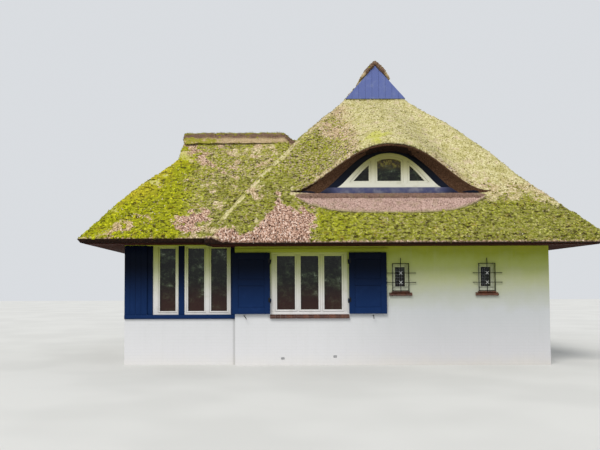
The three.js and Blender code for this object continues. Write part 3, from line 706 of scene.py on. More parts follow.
def fine_skin(node, edge):
    """A copy of a roof with its outside cut into small triangles, and a note of its points on the outside."""
    mesh = bmesh.new()
    mesh.from_mesh(frame["nodes"][node].data)
    bmesh.ops.remove_doubles(mesh, verts=mesh.verts, dist=1e-4)
    bmesh.ops.dissolve_limit(mesh, angle_limit=math.radians(0.3), verts=mesh.verts, edges=mesh.edges)
    longest = 8 * edge
    low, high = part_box(node)
    for axis in range(3):
        level = Vector([float(i == axis) for i in range(3)])
        for at in np.arange(low[axis] + longest, high[axis], longest):
            geometry = [*mesh.verts, *mesh.edges, *mesh.faces]
            bmesh.ops.bisect_plane(mesh, geom=geometry, plane_co=level * at, plane_no=level, dist=1e-5)
    bmesh.ops.triangulate(mesh, faces=mesh.faces)
    while longest > 1.01 * edge:
        longest /= 2
        mesh.normal_update()
        shown = {face for face in mesh.faces if faces_out(face)}
        cut = [e for e in mesh.edges
               if e.calc_length() > (longest if shown.intersection(e.link_faces) else HIDDEN_EDGE)]
        bmesh.ops.subdivide_edges(mesh, edges=cut, cuts=1)
        bmesh.ops.triangulate(mesh, faces=[f for f in mesh.faces if len(f.verts) > 3])
        flat = [e for e in mesh.edges if e.is_manifold and e.calc_face_angle(1) < 0.01]
        bmesh.ops.beautify_fill(mesh, faces=mesh.faces, edges=flat, method="ANGLE")
    mesh.normal_update()
    free = np.array([all(faces_out(face) for face in vert.link_faces) for vert in mesh.verts])
    made = bpy.data.meshes.new(node)
    mesh.to_mesh(made)
    mesh.free()
    return made, free


def points_of(items, key="co"):
    """Three numbers for each point of a mesh, in rows."""
    values = np.zeros(len(items) * 3)
    items.foreach_get(key, values)
    return values.reshape(-1, 3)


def normals_of(mesh):
    return points_of(mesh.vertex_normals, "vector")


def put_back(mesh, points):
    mesh.vertices.foreach_set("co", points.ravel())
    mesh.update()


def settle(mesh, free, rounds):
    """Rounds the arrises and hollows: each free point moves towards the middle of its neighbours, often."""
    edges = np.zeros(len(mesh.edges) * 2, int)
    mesh.edges.foreach_get("vertices", edges)
    a, b = edges.reshape(-1, 2).T
    points = points_of(mesh.vertices)
    count = np.bincount(a, minlength=len(points)) + np.bincount(b, minlength=len(points))
    for _ in range(rounds):
        total = np.zeros_like(points)
        np.add.at(total, a, points[b])
        np.add.at(total, b, points[a])
        points = points + free[:, None] * 0.7 * (total / count[:, None] - points)
    put_back(mesh, points)


def from_line(points, foot, top):
    """How far points lie from a hip, and how far up it."""
    foot, top = np.array(foot), np.array(top)
    way = top - foot
    share = np.clip((points - foot) @ way / (way @ way), 0, 1)
    return np.linalg.norm(points - foot - share[:, None] * way, axis=1), share


def skirt_foot(x):
    """The height of the lower edge of the reed skirt below the dormer."""
    return 3.015 + 0.37 * np.minimum(1.2, np.abs((x + 0.15) / 1.96)) ** 3.8


def growth(points, normals):
    """What grows where: moss, how bright it is, how pink the bare reed is, and where it is cut across or faces
    downwards, which the finish darkens as painted shade.
    """
    x, y, z = points.T
    front = ease(-normals[:, 1], 0.2, 0.5)
    broad, small, tiny = lumps(points, 0.8, 1, 3), lumps(points, 0.2, 2, 3), lumps(points, 0.07, 9, 2)
    edge = np.interp(x, *zip(*BARE_EDGE), left=0, right=0)
    bare = ease(edge - z + small * 0.2 + tiny * 0.08, -0.05, 0.06)
    for cx, cz, rx, rz, lean, most in BARE_SPOTS:
        away = np.hypot((x - cx) / rx, (z - cz - lean * (x - cx)) / rz) + small * 0.75 + tiny * 0.3
        bare = np.maximum(bare, most * fade(away, 0.75, 1.1))
    bare *= front

    # Straw: over and beside the brow, on the east slope, and along the hips
    lip = BROW_FOOT + BROW_RISE * bell((x - BROW_X) / BROW_HALF)
    in_brow = np.abs(x - BROW_X) < 2.05
    by_lip = fade(z - lip, 0.04, 0.3) * (z > lip - 0.1) * in_brow * (0.4 + 0.5 * ease(x, -1.0, -0.4))
    brow = ease(z, 3.45, 3.8) * (0.24 * ease(x, -2.2, -1.5) + 0.76 * ease(x + 0.6 * small, -0.95, -0.35))
    east = ease(x, 1.0, 2.2) * ease(z, 2.6, 3.3) * 0.55
    round_hip = fade(from_line(points, *HIPS[1][:2])[0] + 0.5 * small, 0.15, 0.9)
    straw = np.maximum(front, round_hip) * np.maximum.reduce([brow, by_lip, east])
    arris, up = from_line(points, *HIPS[0][:2])
    straw = np.maximum(straw, 0.62 * fade(arris, 0.05, 0.13) * ease(up, 0.02, 0.1))
    arris, _ = from_line(points, *HIPS[2][:2])
    west_hip = fade(arris, 0.1, 0.5)
    straw = np.maximum(straw, 0.08 * west_hip)
    amber = fade(arris, 0.08, 0.7) * fade(x, -3.6, -3) * (0.15 + 0.85 * ease(z, 2.9, 3.6))

    # Moss, and how yellow it is: bright on the wing and in one spot above the brow, thin high up
    wing, west, high = fade(x, -4.9, -3.6), fade(x, -2.6, -1.9), ease(z, 3.6, 4.5)
    low_side = ease(x, -4.5, -3.9) * fade(x, -2.2, -1.9) * fade(z, 3.7, 4.2)
    band = fade(z, 3.0, 3.35) * ease(x, -1.8, -1.6) * front
    spot = fade(np.hypot((x + 0.4) / 0.58, (z - 4.65 - 0.3 * (x + 0.4)) / 0.27) + 0.6 * small, 0.1, 1.25)
    moss = 0.92 + 0.3 * broad + 0.2 * small - 0.4 * high * ease(x, -1.8, -0.6)
    moss = moss - 0.4 * (ease(z, 4.0, 4.6) * west) - 0.85 * straw + 0.15 * band
    moss = moss - 0.4 * (ease(lumps(points, 0.26, 14, 2), 0.08, 0.45) * west)
    moss = np.clip(np.maximum(moss, 0.12 * spot * front), 0, 1) * (1 - bare)
    yellow = 0.38 + 0.68 * wing * (1 - 0.25 * high) + 0.25 * broad + 0.15 * small - 0.12 * band
    yellow = yellow + 0.3 * band * fade(x, -1.2, -0.3) - 0.25 * ease(x, 0.6, 1.8) - 0.25 * low_side
    yellow = np.clip(np.maximum(yellow, spot * front), 0, 1) + 0.42 * amber

    # Pink reed where the moss is off, but not on the straw, near the eave or high on the left
    rosy = fade(np.hypot((x - 0.85) / 0.9, (z - lip - 0.12) / 0.3) + 0.5 * small, 0.5, 1.2) * front
    by_hip = ease(x, -2.3, -1.9) * fade(x, -1.0, -0.4)
    pink = 0.85 - 0.5 * ease(z, 4.0, 4.5) * (ease(x, -3.9, -3.2) - by_hip) - 0.95 * straw + 0.35 * small
    pink = pink - 0.65 * band + 0.5 * rosy - 0.9 * west_hip - 0.5 * low_side
    pink = np.clip(np.maximum(bare, pink), 0, 1)
    # Cut: faces turned downwards and the reed under the brow's lip, later darkened as painted shade.
    below_lip = (z < lip + 0.012) & (z > 3.42) & (y < BROW_Y + 0.2) & in_brow
    cut = np.maximum(ease(-normals[:, 2], 0.12, 0.5), below_lip * ease(-normals[:, 2], -0.35, 0.0))
    skirt = (z > skirt_foot(x) + 0.025) * (z < 3.52) * (np.abs(x + 0.15) < 2.0) * (y > -4.6) * front
    covered = np.maximum(skirt, below_lip)
    moss = moss * (1 - cut) * (1 - covered)
    covered = np.maximum(covered, 0.5 * fade(-normals[:, 1], -0.1, 0.2) * (x > -3.5))
    stubble = (1 - moss) * (0.3 + 0.7 * pink)
    return {"moss": moss, "yellow": yellow, "pink": pink, "cut": cut, "covered": covered, "stubble": stubble}


def note(mesh, marks, *zeros):
    """Writes named values on a mesh's points, for its material and the strewing to read."""
    for name, values in (marks | {name: np.zeros(len(mesh.vertices)) for name in zeros}).items():
        layer = mesh.attributes.new(name, "FLOAT", "POINT")
        layer.data.foreach_set("value", values.astype(np.float32))


def thatch_finish():
    """Reed, moss and cut reed ends in one finish, led by the values that the mesh carries."""
    reed = Finish("reed_and_moss", roughness=0.95, specular=0.15)
    moss, yellow, pink, cut, lone, tuft = map(reed.mark, ("moss", "yellow", "pink", "cut", "lone", "tuft"))
    speckle = reed.grain(27, 4, roughness=0.8)
    patches = reed.grain(6, 4, roughness=0.65)
    fine = reed.grain(13, 5, reed.stretched(1, 1, 1.8), roughness=0.75)
    hue = reed.swayed(speckle, lone, reed.times(tuft, reed.span(pink, 0, 1, 0.25, 0.6)))
    straw = reed.ramp(hue, (0.28, "5a5132"), (0.4, "a0965f"), (0.53, "cdc590"), (0.7, "f4eecb"))
    straw = reed.over(straw, "9d9650", patches, 0.5, 0.62, 0.55)
    straw = reed.over(straw, "ccb6a0", patches, 0.46, 0.36, 0.5)
    lime = reed.times(reed.span(yellow, 0.45, 0.95, 0, 0.8), reed.span(speckle, 0.4, 0.6, 0.2, 1))
    rosy = reed.ramp(hue, (0.34, "2c1d18"), (0.45, "8f6c59"), (0.54, "cda690"), (0.66, "fff0e4"))
    colour = reed.mix(pink, reed.mix(lime, straw, "bcc030"), rosy)

    shade = reed.swayed(fine, lone, reed.times(tuft, 0.13))
    dull = reed.ramp(shade, (0.26, "2b2c0a"), (0.42, "72751e"), (0.55, "9fa13c"), (0.72, "d8d88a"))
    lively = reed.ramp(shade, (0.26, "332f04"), (0.42, "888d04"), (0.56, "b9bd14"), (0.74, "e8e83c"))
    green = reed.over(reed.mix(yellow, dull, lively), "a8842c", patches, 0.55, 0.72, 0.4)
    green = reed.over(green, "dcc83a", yellow, 1.0, 1.5, 0.55)
    # Painted shade: dark streaks for the shadows between clumps of moss.
    shade_gaps = reed.grain(10, 4, reed.stretched(1, 1, 2.0), roughness=0.65)
    flecks = reed.grain(18, 4, reed.stretched(1.1, 1.1, 2.0), roughness=0.7)
    flecks = reed.times(reed.span(flecks, 0.49, 0.59), reed.span(yellow, 0.3, 0.95, 1, 0.08))
    green = reed.mix(reed.times(flecks, reed.span(pink, 0.2, 0.8, 0.25, 0.95)), green, "e0c6ae")
    green = reed.over(green, "33250f", shade_gaps, 0.46, 0.38, 0.88)
    # Painted shade: the skin between the moss cushions is darkened, as if in their shade.
    green = reed.mix(reed.span(tuft, 0, 1, 0.3, 0), green, "2b2710")
    ragged = reed.swayed(reed.swayed(moss, fine, 0.9), patches, 0.5)
    on_tuft = reed.times(tuft, reed.span(moss, 0.98, 1.0))
    colour = reed.mix(reed.sums("MAXIMUM", reed.span(ragged, 0.42, 0.56), on_tuft), colour, green)
    # Cut reed ends and downward faces: dark brown, partly the ends' own colour, mostly painted shade.
    colour = reed.mix(cut, colour, reed.ramp(speckle, (0.3, "0d0705"), (0.5, "22140d"), (0.7, "3e2819")))
    return reed.done(colour, reed.plus(reed.times(speckle, 0.5), fine, 0.9), depth=0.025)


reed = thatch_finish()


def ridge_fall(x):
    """How far the wing's ridge drops where it runs against the hip of the main roof."""
    return 0.17 * ease(x, -2.26, -2.0)


def thatch(roof, eave):
    """The skin of one roof: settled, swollen by moss and rippled by reed, with a thin dark edge below, of cut
    reed ends darkened with painted shade.
    """
    node = f"{roof}_thatch"
    mesh, free = fine_skin(node, SKIN_EDGE)
    points = points_of(mesh.vertices)
    low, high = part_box(node)
    sides = [points[:, 1] < low.y + RIM, points[:, 1] > high.y - RIM, points[:, 0] < low.x + RIM]
    if roof == "main":
        sides.append(points[:, 0] > high.x - RIM)
    foot = points[:, 2] <= eave[0][-1] + 0.002
    within = foot & (np.any(sides, axis=0) | (points[:, 2] < eave[0][0] + 0.002))
    points[:, 2] = np.where(within, np.interp(points[:, 2], *eave), points[:, 2])
    flare = foot * np.clip((eave[1][-1] - points[:, 2]) / (eave[1][-1] - eave[1][-2]), 0, 1) * 0.045
    for at_side, axis, way in zip(sides, (1, 1, 0, 0), (-1, 1, -1, 1)):
        points[:, axis] += way * at_side * flare
    put_back(mesh, points)
    lip = eave[1][1]
    settle(mesh, free * ease(points[:, 2], lip + 0.01, lip + 0.1), 6)
    points, normals = points_of(mesh.vertices), normals_of(mesh)
    marks = growth(points, normals)
    dressed_up = 0.1 * fade(points[:, 0], -3.85, -3.25) * (points[:, 1] < -4) * (roof == "main")
    above = points[:, 2] - lip - dressed_up
    # The band just above the eave is marked cut: cut reed ends, darkened with painted shade.
    marks["cut"] = np.maximum(marks["cut"], above < 0.012)
    butts_shown = fade(above + 0.012 * lumps(points, 0.15, 3), 0.02, 0.055)
    butts_shown *= 0.9 if roof == "main" else 0.5
    marks["moss"] *= 1 - butts_shown
    marks["pink"] = np.maximum(marks["pink"], butts_shown)
    for name in ("moss", "stubble"):
        marks[name] = np.where((dressed_up > 0.005) & (above < 0.0), 0, marks[name])
    swell = 0.022 * lumps(points, 1.1, 4) + 0.012 * lumps(points, 0.35, 5)
    swell += marks["moss"] * (0.005 + 0.012 * lumps(points, 0.11, 6)) + 0.008 * lumps(points, 0.09, 7)
    swell *= ease(points[:, 2], lip, lip + 0.12) * (1 - marks["covered"])
    for bottom, top, most, wide, (starts, full, fades) in HIPS:
        away, up = from_line(points, bottom, top)
        swell += most * ease(up, starts, full) * fade(up, fades, 1) * np.exp(-(away / wide) ** 2)
    points = points + normals * (swell * free)[:, None]
    if roof == "wing":
        points[:, 2] -= ridge_fall(points[:, 0]) * ease(points[:, 2], 4.55, 4.85)
    put_back(mesh, points)
    note(mesh, marks, "lone", "tuft")
    return piece(f"{roof}_reed_skin", mesh, reed, replaces=[node], crease=80)


main_roof = thatch("main", ((2.35, 2.44, 2.6), (2.385, 2.4, 2.6)))
wing_roof = thatch("wing", ((2.43, 2.48, 2.59), (2.43, 2.5, 2.6)))


# Moss cushions and reed ends
# Cushions of moss stand up from the skin. Where there is none, the butts of reed stick out down the slope.
# Both are strewn over the skin by the same rule, thick where the skin says that moss or bare reed lies.
def kept_apart(name, shapes):
    """A collection of small shapes, for a rule to pick from."""
    group = bpy.data.collections.new(name)
    bpy.context.scene.collection.children.link(group)
    for number, shape in enumerate(shapes):
        made = bpy.data.objects.new(f"{name}_{number}", bpy.data.meshes.new(f"{name}_{number}"))
        shape.to_mesh(made.data)
        shape.free()
        made.data.shade_smooth()
        group.objects.link(made)
    return group


def cushion(seed):
    """A low lump of moss on five sides, one unit across and half a unit high."""
    mesh = bmesh.new()
    rings = []
    for radius, height in ((0.54, -0.1), (0.44, 0.26)):
        ring = []
        for i in range(5):
            turn = 2 * math.pi * (i + 0.5 * len(rings)) / 5
            at = Vector((radius * math.cos(turn), radius * math.sin(turn), height))
            ring.append(mesh.verts.new(at * (1 + 0.7 * noise.noise(at * 2.5 + Vector((seed * 9.1, 0, 0))))))
        rings.append(ring)
    top = mesh.verts.new((0.06, 0.03, 0.45))
    mesh.faces.new(rings[0][::-1])
    for i in range(5):
        j = (i + 1) % 5
        for corners in ((rings[0][i], rings[0][j], rings[1][i]), (rings[0][j], rings[1][j], rings[1][i]),
                        (rings[1][i], rings[1][j], top)):
            mesh.faces.new(corners)
    return mesh


def butt():
    """The end of a few reeds that cling together, one unit long."""
    mesh = bmesh.new()
    bmesh.ops.create_cone(mesh, segments=3, radius1=0.5, radius2=0.42, depth=1, cap_ends=True)
    return mesh


def strewing(name):
    """The rule that strews tufts over a skin, as many as a named value there says, leaning down the slope."""
    tree = bpy.data.node_groups.new(name, "GeometryNodeTree")
    sockets = {"Geometry": ("Skin",), "Collection": ("Tufts",), "Material": ("Material",),
               "String": ("Value name",), "Vector": ("Smallest", "Largest"), "Int": ("Seed",),
               "Float": ("Share at none", "Per square metre", "Clumping", "Lean", "Moss")}
    for kind, labels in sockets.items():
        for label in labels:
            tree.interface.new_socket(label, in_out="INPUT", socket_type=f"NodeSocket{kind}")
    tree.interface.new_socket("Skin", in_out="OUTPUT", socket_type="NodeSocketGeometry")
    given = {socket.name: socket for socket in tree.nodes.new("NodeGroupInput").outputs}

    def add(kind, *values, settings=None, **named):
        return wire(tree, kind, *values, settings=settings, **named)

    def named_value(label):
        return out(add("GeometryNodeInputNamedAttribute", label, settings={"data_type": "FLOAT"}))

    def times(first, second, operation="MULTIPLY"):
        return out(add("ShaderNodeMath", first, second, settings={"operation": operation}))

    def vector(operation, *values, **named):
        return out(add("ShaderNodeVectorMath", *values, settings={"operation": operation}, **named))

    def chance(low, high, kind="FLOAT_VECTOR"):
        return out(add("FunctionNodeRandomValue", low, high, Seed=given["Seed"],
                       settings={"data_type": kind}))

    hidden = times(named_value("cut"), named_value("covered"), "MAXIMUM")
    share = named_value(given["Value name"])
    share = out(add("ShaderNodeMapRange", share, 0.0, 1.0, given["Share at none"], 1.0))
    clumps = out(add("ShaderNodeTexNoise", Scale=8.0, Detail=3.0, Roughness=0.6))
    clumps = out(add("ShaderNodeMapRange", clumps, 0.4, 0.55, times(1.0, given["Clumping"], "SUBTRACT"), 1.0))
    density = times(times(share, times(1.0, hidden, "SUBTRACT")), times(clumps, given["Per square metre"]))
    strewn = add("GeometryNodeDistributePointsOnFaces", given["Skin"], Density=density, Seed=given["Seed"],
                 settings={"distribute_method": "RANDOM"})
    normal = strewn.outputs["Normal"]
    steep = add("ShaderNodeVectorMath", normal, (0, 0, -1), settings={"operation": "DOT_PRODUCT"})
    down = vector("SUBTRACT", (0, 0, -1), vector("SCALE", normal, Scale=out(steep, "Value")))
    wild = vector("SCALE", chance((-1, -1, -1), (1, 1, 1)), Scale=0.25)
    stand = vector("ADD", vector("ADD", normal, vector("SCALE", down, Scale=given["Lean"])), wild)
    turn = out(add("FunctionNodeAxesToRotation", stand, vector("CROSS_PRODUCT", normal, wild),
                   settings={"primary_axis": "Z", "secondary_axis": "X"}))
    tufts = out(add("GeometryNodeCollectionInfo", given["Tufts"], True, True))
    placed = out(add("GeometryNodeInstanceOnPoints", strewn.outputs["Points"], Instance=tufts,
                     Pick_Instance=True, Rotation=turn, Scale=chance(given["Smallest"], given["Largest"])))
    for label, source in (("lone", chance(0.0, 1.0, "FLOAT")), ("moss", given["Moss"]), ("tuft", 1.0)):
        placed = out(add("GeometryNodeStoreNamedAttribute", placed, Name=label, Value=source,
                         settings={"data_type": "FLOAT", "domain": "INSTANCE"}))
    whole = out(add("GeometryNodeRealizeInstances", placed))
    wire(tree, "NodeGroupOutput", out(add("GeometryNodeSetMaterial", whole, Material=given["Material"])))
    return tree


def strew(name, skin, tufts, finish, value, many, seed, at_none=0.0, clumping=0.3, widths=(0.01, 0.02),
          heights=(0.03, 0.06), lean=2.6, moss=0.0):
    """Runs the rule on a copy of a skin and keeps what it makes as a piece of its own."""
    host = bpy.data.objects.new(name, skin.data.copy())
    bpy.context.scene.collection.objects.link(host)
    work = host.modifiers.new("strewing", "NODES")
    work.node_group = rule
    smallest, largest = ((width, width, height) for width, height in zip(widths, heights))
    given = {"Tufts": tufts, "Material": finish, "Value name": value, "Per square metre": many, "Seed": seed,
             "Share at none": at_none, "Clumping": clumping, "Smallest": smallest, "Largest": largest,
             "Lean": lean, "Moss": moss}
    for item in rule.interface.items_tree:
        if item.in_out == "INPUT" and item.name in given:
            work[item.identifier] = given[item.name]
    graph = bpy.context.evaluated_depsgraph_get()
    mesh = bpy.data.meshes.new_from_object(host.evaluated_get(graph))
    spare = host.data
    bpy.data.objects.remove(host)
    bpy.data.meshes.remove(spare)
    return piece(name, mesh, finish, crease=180)


rule = strewing("tufts_on_a_skin")
cushions = kept_apart("cushion", [cushion(seed) for seed in range(3)])
butts = kept_apart("butt", [butt()])
for skin, roof, seed, many in ((main_roof, "main", 11, 250.0), (wing_roof, "wing", 23, 330.0)):
    strew(f"{roof}_moss", skin, cushions, reed, "moss", many, seed, at_none=-0.15, clumping=0.7,
          widths=(0.03, 0.088), heights=(0.015, 0.038), lean=0.35, moss=1.0)
    strew(f"{roof}_reed_ends", skin, butts, reed, "stubble", 560.0, seed + 1, at_none=0.03, clumping=0.4,
          widths=(0.012, 0.028))


# Dormer
# A navy board closes the mouth below the brow, with a low arched window of three lights set in it.
# Below it come a sill board of faded blue paint with painted light and shade, and a skirt of reed in two
# courses, cut to a hanging bow with a mossy edge.
ARCH_HALF, ARCH_FOOT, ARCH_RISE, PANE_FOOT = 1.07, 3.588, 0.708, 3.722
MOUTH_HALF, UNDERSIDE = 1.56, (96, 7)
SILL_HALF, SILL_FOOT, SILL_TOP = 1.5, 3.43, 3.5865
SKIRT_SPAN, SKIRT_SLOPE = (-2.13, 1.83), 1.1054


def arch(inset=0.0, steps=64):
    """The arch of the window, drawn inwards by inset, from its right foot over the top to its left foot."""
    shares = [1 - 2 * i / steps for i in range(steps + 1)]
    return [(BROW_X + (ARCH_HALF - 2 * inset) * share,
             ARCH_FOOT + (ARCH_RISE - inset) * (1 - abs(share) ** 2.2) ** 1.45) for share in shares]


def grown(outline, by):
    """An outline that runs counter-clockwise, with every side moved outwards."""
    moved = []
    for i, at in enumerate(outline):
        before = Vector(at) - Vector(outline[i - 1])
        after = Vector(outline[(i + 1) % len(outline)]) - Vector(at)
        a, b = Vector((before.y, -before.x)).normalized(), Vector((after.y, -after.x)).normalized()
        moved.append(tuple(Vector(at) + (a + b) * by / max(0.35, 1 + a.dot(b))))
    return moved


def ease_edges(mesh, width, sharper):
    """Rounds the edges of a mesh that are sharper than an angle."""
    sharp = [e for e in mesh.edges if e.is_manifold and e.calc_face_angle() > math.radians(sharper)]
    bmesh.ops.bevel(mesh, geom=sharp, offset=width, segments=2, profile=0.6, affect="EDGES",
                    clamp_overlap=True)
    return mesh


def plate(outline, holes, front, back):
    """A flat plate with holes that stands upright across the view, with eased edges."""
    mesh = bmesh.new()
    edges = []
    for loop in (outline, *holes):
        ring = [mesh.verts.new((x, front, z)) for x, z in loop]
        edges += [mesh.edges.new((ring[i - 1], ring[i])) for i in range(len(ring))]
    made = bmesh.ops.triangle_fill(mesh, edges=edges, use_beauty=True, use_dissolve=False, normal=(0, -1, 0))
    faces = [part for part in made["geom"] if isinstance(part, bmesh.types.BMFace)]
    for part in bmesh.ops.extrude_face_region(mesh, geom=faces)["geom"]:
        if isinstance(part, bmesh.types.BMVert):
            part.co.y = back
    return ease_edges(outwards(mesh), 0.003, 50)


def light_outline(left, right, bottom, inset):
    """One light of the window, counter-clockwise: a flat foot, upright sides and the arch above."""
    curve = arch(inset)
    heights = np.interp([left, right], [p[0] for p in curve][::-1], [p[1] for p in curve][::-1])
    outline = [(left, bottom), (right, bottom)]
    if heights[1] > bottom + 0.01:
        outline.append((right, heights[1]))
    outline += [p for p in curve if left + 1e-3 < p[0] < right - 1e-3 and p[1] > bottom + 1e-3]
    if heights[0] > bottom + 0.01:
        outline.append((left, heights[0]))
    return outline


# The olive top of the dormer's cream paint is painted shade under the brow.
dormer_cream = gloss_paint("dormer_cream_paint", "d0cfc0", "b5b3a0", top="858000", rise=(3.6, 4.2))
lights = ((-0.885, -0.561, 0.09), (-0.388, 0.099, 0.115), (0.272, 0.589, 0.09))
panes = [light_outline(left, right, PANE_FOOT, inset) for left, right, inset in lights]
openings = [grown(pane, 0.045) for pane in panes]
low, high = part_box("dormer_window_frame")
frame_plate = plate(grown(arch(), -0.0006), openings, low.y, high.y)
for opening, pane in zip(openings, panes):
    rebate = grown(opening, -0.002)
    spans = [(rebate, low.y + 0.01), (pane, low.y + 0.01), (pane, high.y), (rebate, high.y)]
    tube(frame_plate, [[frame_plate.verts.new((x, y, z)) for x, z in outline] for outline, y in spans], True)
piece("dormer_window_joinery", outwards(frame_plate), dormer_cream,
      replaces=["dormer_window_frame"])


def brow_foot(share):
    """The height at which the underside of the brow meets the board behind it."""
    return 3.44 + 0.95 * max(0.0, 1 - abs(share) ** 2.2) ** 1.9


def mat(columns, rows, place):
    """A mat of reed between two grids of points, given by place for a side, a column and a row."""
    mesh = bmesh.new()
    under, over = ([[mesh.verts.new(place(side, i, j)) for j in range(rows + 1)] for i in range(columns + 1)]
                   for side in (0, 1))
    for i in range(columns):
        for j in range(rows):
            for grid in (under, over):
                mesh.faces.new((grid[i][j], grid[i + 1][j], grid[i + 1][j + 1], grid[i][j + 1]))
        for j in (0, rows):
            mesh.faces.new((under[i][j], under[i + 1][j], over[i + 1][j], over[i][j]))
    for i in (0, columns):
        for j in range(rows):
            mesh.faces.new((under[i][j], under[i][j + 1], over[i][j + 1], over[i][j]))
    return outwards(mesh)


def brow_underside(side, i, j):
    """The cut reed below the brow, from the lip in to the board, 3 cm thick."""
    share = -1 + 2 * i / UNDERSIDE[0]
    lip = Vector((BROW_X + BROW_HALF * share, BROW_Y + 0.014 - BROW_BULGE * bell(share),
                  BROW_FOOT + 0.002 + BROW_RISE * bell(share)))
    foot = Vector((BROW_X - 0.005 + MOUTH_HALF * share, -4.041, brow_foot(share)))
    at = lip.lerp(foot, j / UNDERSIDE[1])
    at.z += 0.03 * side + 0.012 * noise.noise(at * 11) * (0 < j < UNDERSIDE[1])
    return at


cut_reed = Finish("cut_reed_below_brow", roughness=0.95, specular=0.1)
stalks = cut_reed.grain(70, 4, roughness=0.75)
shadow = cut_reed.ramp(stalks, (0.3, "22140d"), (0.5, "4e3626"), (0.7, "8c6c54"))
piece("brow_underside", mat(*UNDERSIDE, brow_underside), cut_reed.done(shadow, stalks, depth=0.02),
      crease=60)

# Towards the top the navy goes near black: painted shade under the brow.
niche_navy = gloss_paint("niche_navy_paint", "101626", "161c2e", top="050608", rise=(3.5, 4.1), sheen=0.1)
niche = bmesh.new()
niche.from_mesh(frame["nodes"]["dormer_board"].data)
bmesh.ops.remove_doubles(niche, verts=niche.verts, dist=1e-5)
bmesh.ops.dissolve_limit(niche, angle_limit=math.radians(0.5), verts=niche.verts, edges=niche.edges)
piece("dormer_board_face", ease_edges(niche, 0.002, 25), niche_navy, replaces=["dormer_board"])


def sill_paint():
    """Blue-grey paint, partly faded and partly a painted highlight of sky light, darkened at both ends with
    painted shade under the brow.
    """
    paint = Finish("faded_blue_paint", roughness=0.6, specular=0.1)
    x, _, _ = paint.axes()
    cloud = paint.grain(7, 5)
    worn = paint.ramp(cloud, (0.4, "484b6b"), (0.5, "56576f"), (0.65, "717282"))
    from_middle_for_shade = paint.sums("ABSOLUTE", paint.sums("ADD", x, 0.15))
    # Painted shade: darker navy at both ends, under the brow.
    return paint.done(paint.over(worn, "12172c", from_middle_for_shade, 1.0, 1.3, 0.85), cloud, depth=0.001)


left, right, face = BROW_X - SILL_HALF, BROW_X + SILL_HALF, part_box("dormer_board")[0].y
outline = [(left, SILL_FOOT), (right, SILL_FOOT)]
for x in np.linspace(right, left, 41):
    outline.append((x, min(SILL_TOP, brow_foot((x - BROW_X + 0.005) / MOUTH_HALF) - 0.001)))
sill = plate(outline, [], face - 0.045, face - 0.0004)
piece("dormer_sill_board", sill, sill_paint(), crease=20)


def skirt(name, material, top_z, foot, lift, rows=10, columns=150):
    """A mat of reed on the front slope: foot is the height of its lower edge, lift how far it stands off."""
    level = Vector((0, -SKIRT_SLOPE, 1)).normalized()
    eave_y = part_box("main_thatch")[0].y

    def place(side, i, j):
        x = SKIRT_SPAN[0] + (SKIRT_SPAN[1] - SKIRT_SPAN[0]) * i / columns
        bottom = min(foot(x) + 0.012 * noise.noise(Vector((x * 9, side, 0))), top_z - 0.012)
        z = bottom + (top_z - bottom) * j / rows
        at = Vector((x, eave_y + (z - SLOPE_FOOT) / SKIRT_SLOPE, z))
        thin = min(1.0, (top_z - bottom) / 0.1) * min(1.0, 0.5 + j)
        return at + level * (lift * thin + 0.007 * noise.noise(at * 16) if side else -0.03)

    made = piece(name, mat(columns, rows, place), material, crease=50)
    points = points_of(made.data.vertices)
    free = (points[:, 2] < top_z - 0.03) & (normals_of(made.data)[:, 1] < -0.3)
    above = points[:, 2] - np.array([foot(x) for x in points[:, 0]])
    mossy = fade(above + 0.03 * lumps(points, 0.12, 12, 2), 0.0, 0.07)
    marks = {"bare": free * (1 - 0.8 * mossy), "mossy": mossy * (name == "dormer_skirt")}
    note(made.data, marks, "cut", "covered", "lone", "tuft")
    return made


def reed_row(name, dark, mid, light):
    row = Finish(name, roughness=0.9)
    speckle = row.grain(60, 4, roughness=0.75)
    hue = row.swayed(speckle, row.mark("lone"), row.times(row.mark("tuft"), 0.3))
    colour = row.ramp(hue, (0.3, dark), (0.5, mid), (0.7, light))
    colour = row.over(colour, "93895f", row.grain(5, 3), 0.5, 0.7, 0.3)
    colour = row.mix(row.times(row.mark("mossy"), 0.75), colour, "8c8c48")
    return row.done(colour, speckle, depth=0.02)


lower_reed = reed_row("skirt_reed", "6e4e42", "c4a296", "f2dacd")
# The upper course is a darker copy of the lower one: partly darker reed, partly painted shade below the sill
# board.
upper_reed_in_shade = reed_row("upper_skirt_reed", "38261e", "7c5f51", "a98b79")
low_skirt = skirt("dormer_skirt", lower_reed, 3.41, skirt_foot, 0.035)
high_skirt = skirt("dormer_skirt_upper", upper_reed_in_shade, SILL_FOOT, lambda x: max(3.315, skirt_foot(x) + 0.03),
                   0.047, rows=5)
for course, finish, seed in ((low_skirt, lower_reed, 41), (high_skirt, upper_reed_in_shade, 43)):
    strew(f"{course.name}_ends", course, butts, finish, "bare", 900.0, seed, clumping=0.2,
          widths=(0.01, 0.022), lean=4.0)


# Ridges
# Heather sods bent over the ridge and pegged down, on a roll of reed whose lower edge hangs in scallops.
# The heather is near black where it is thick, purple-brown at the edges, with some moss on top.
SCALLOP = 0.42


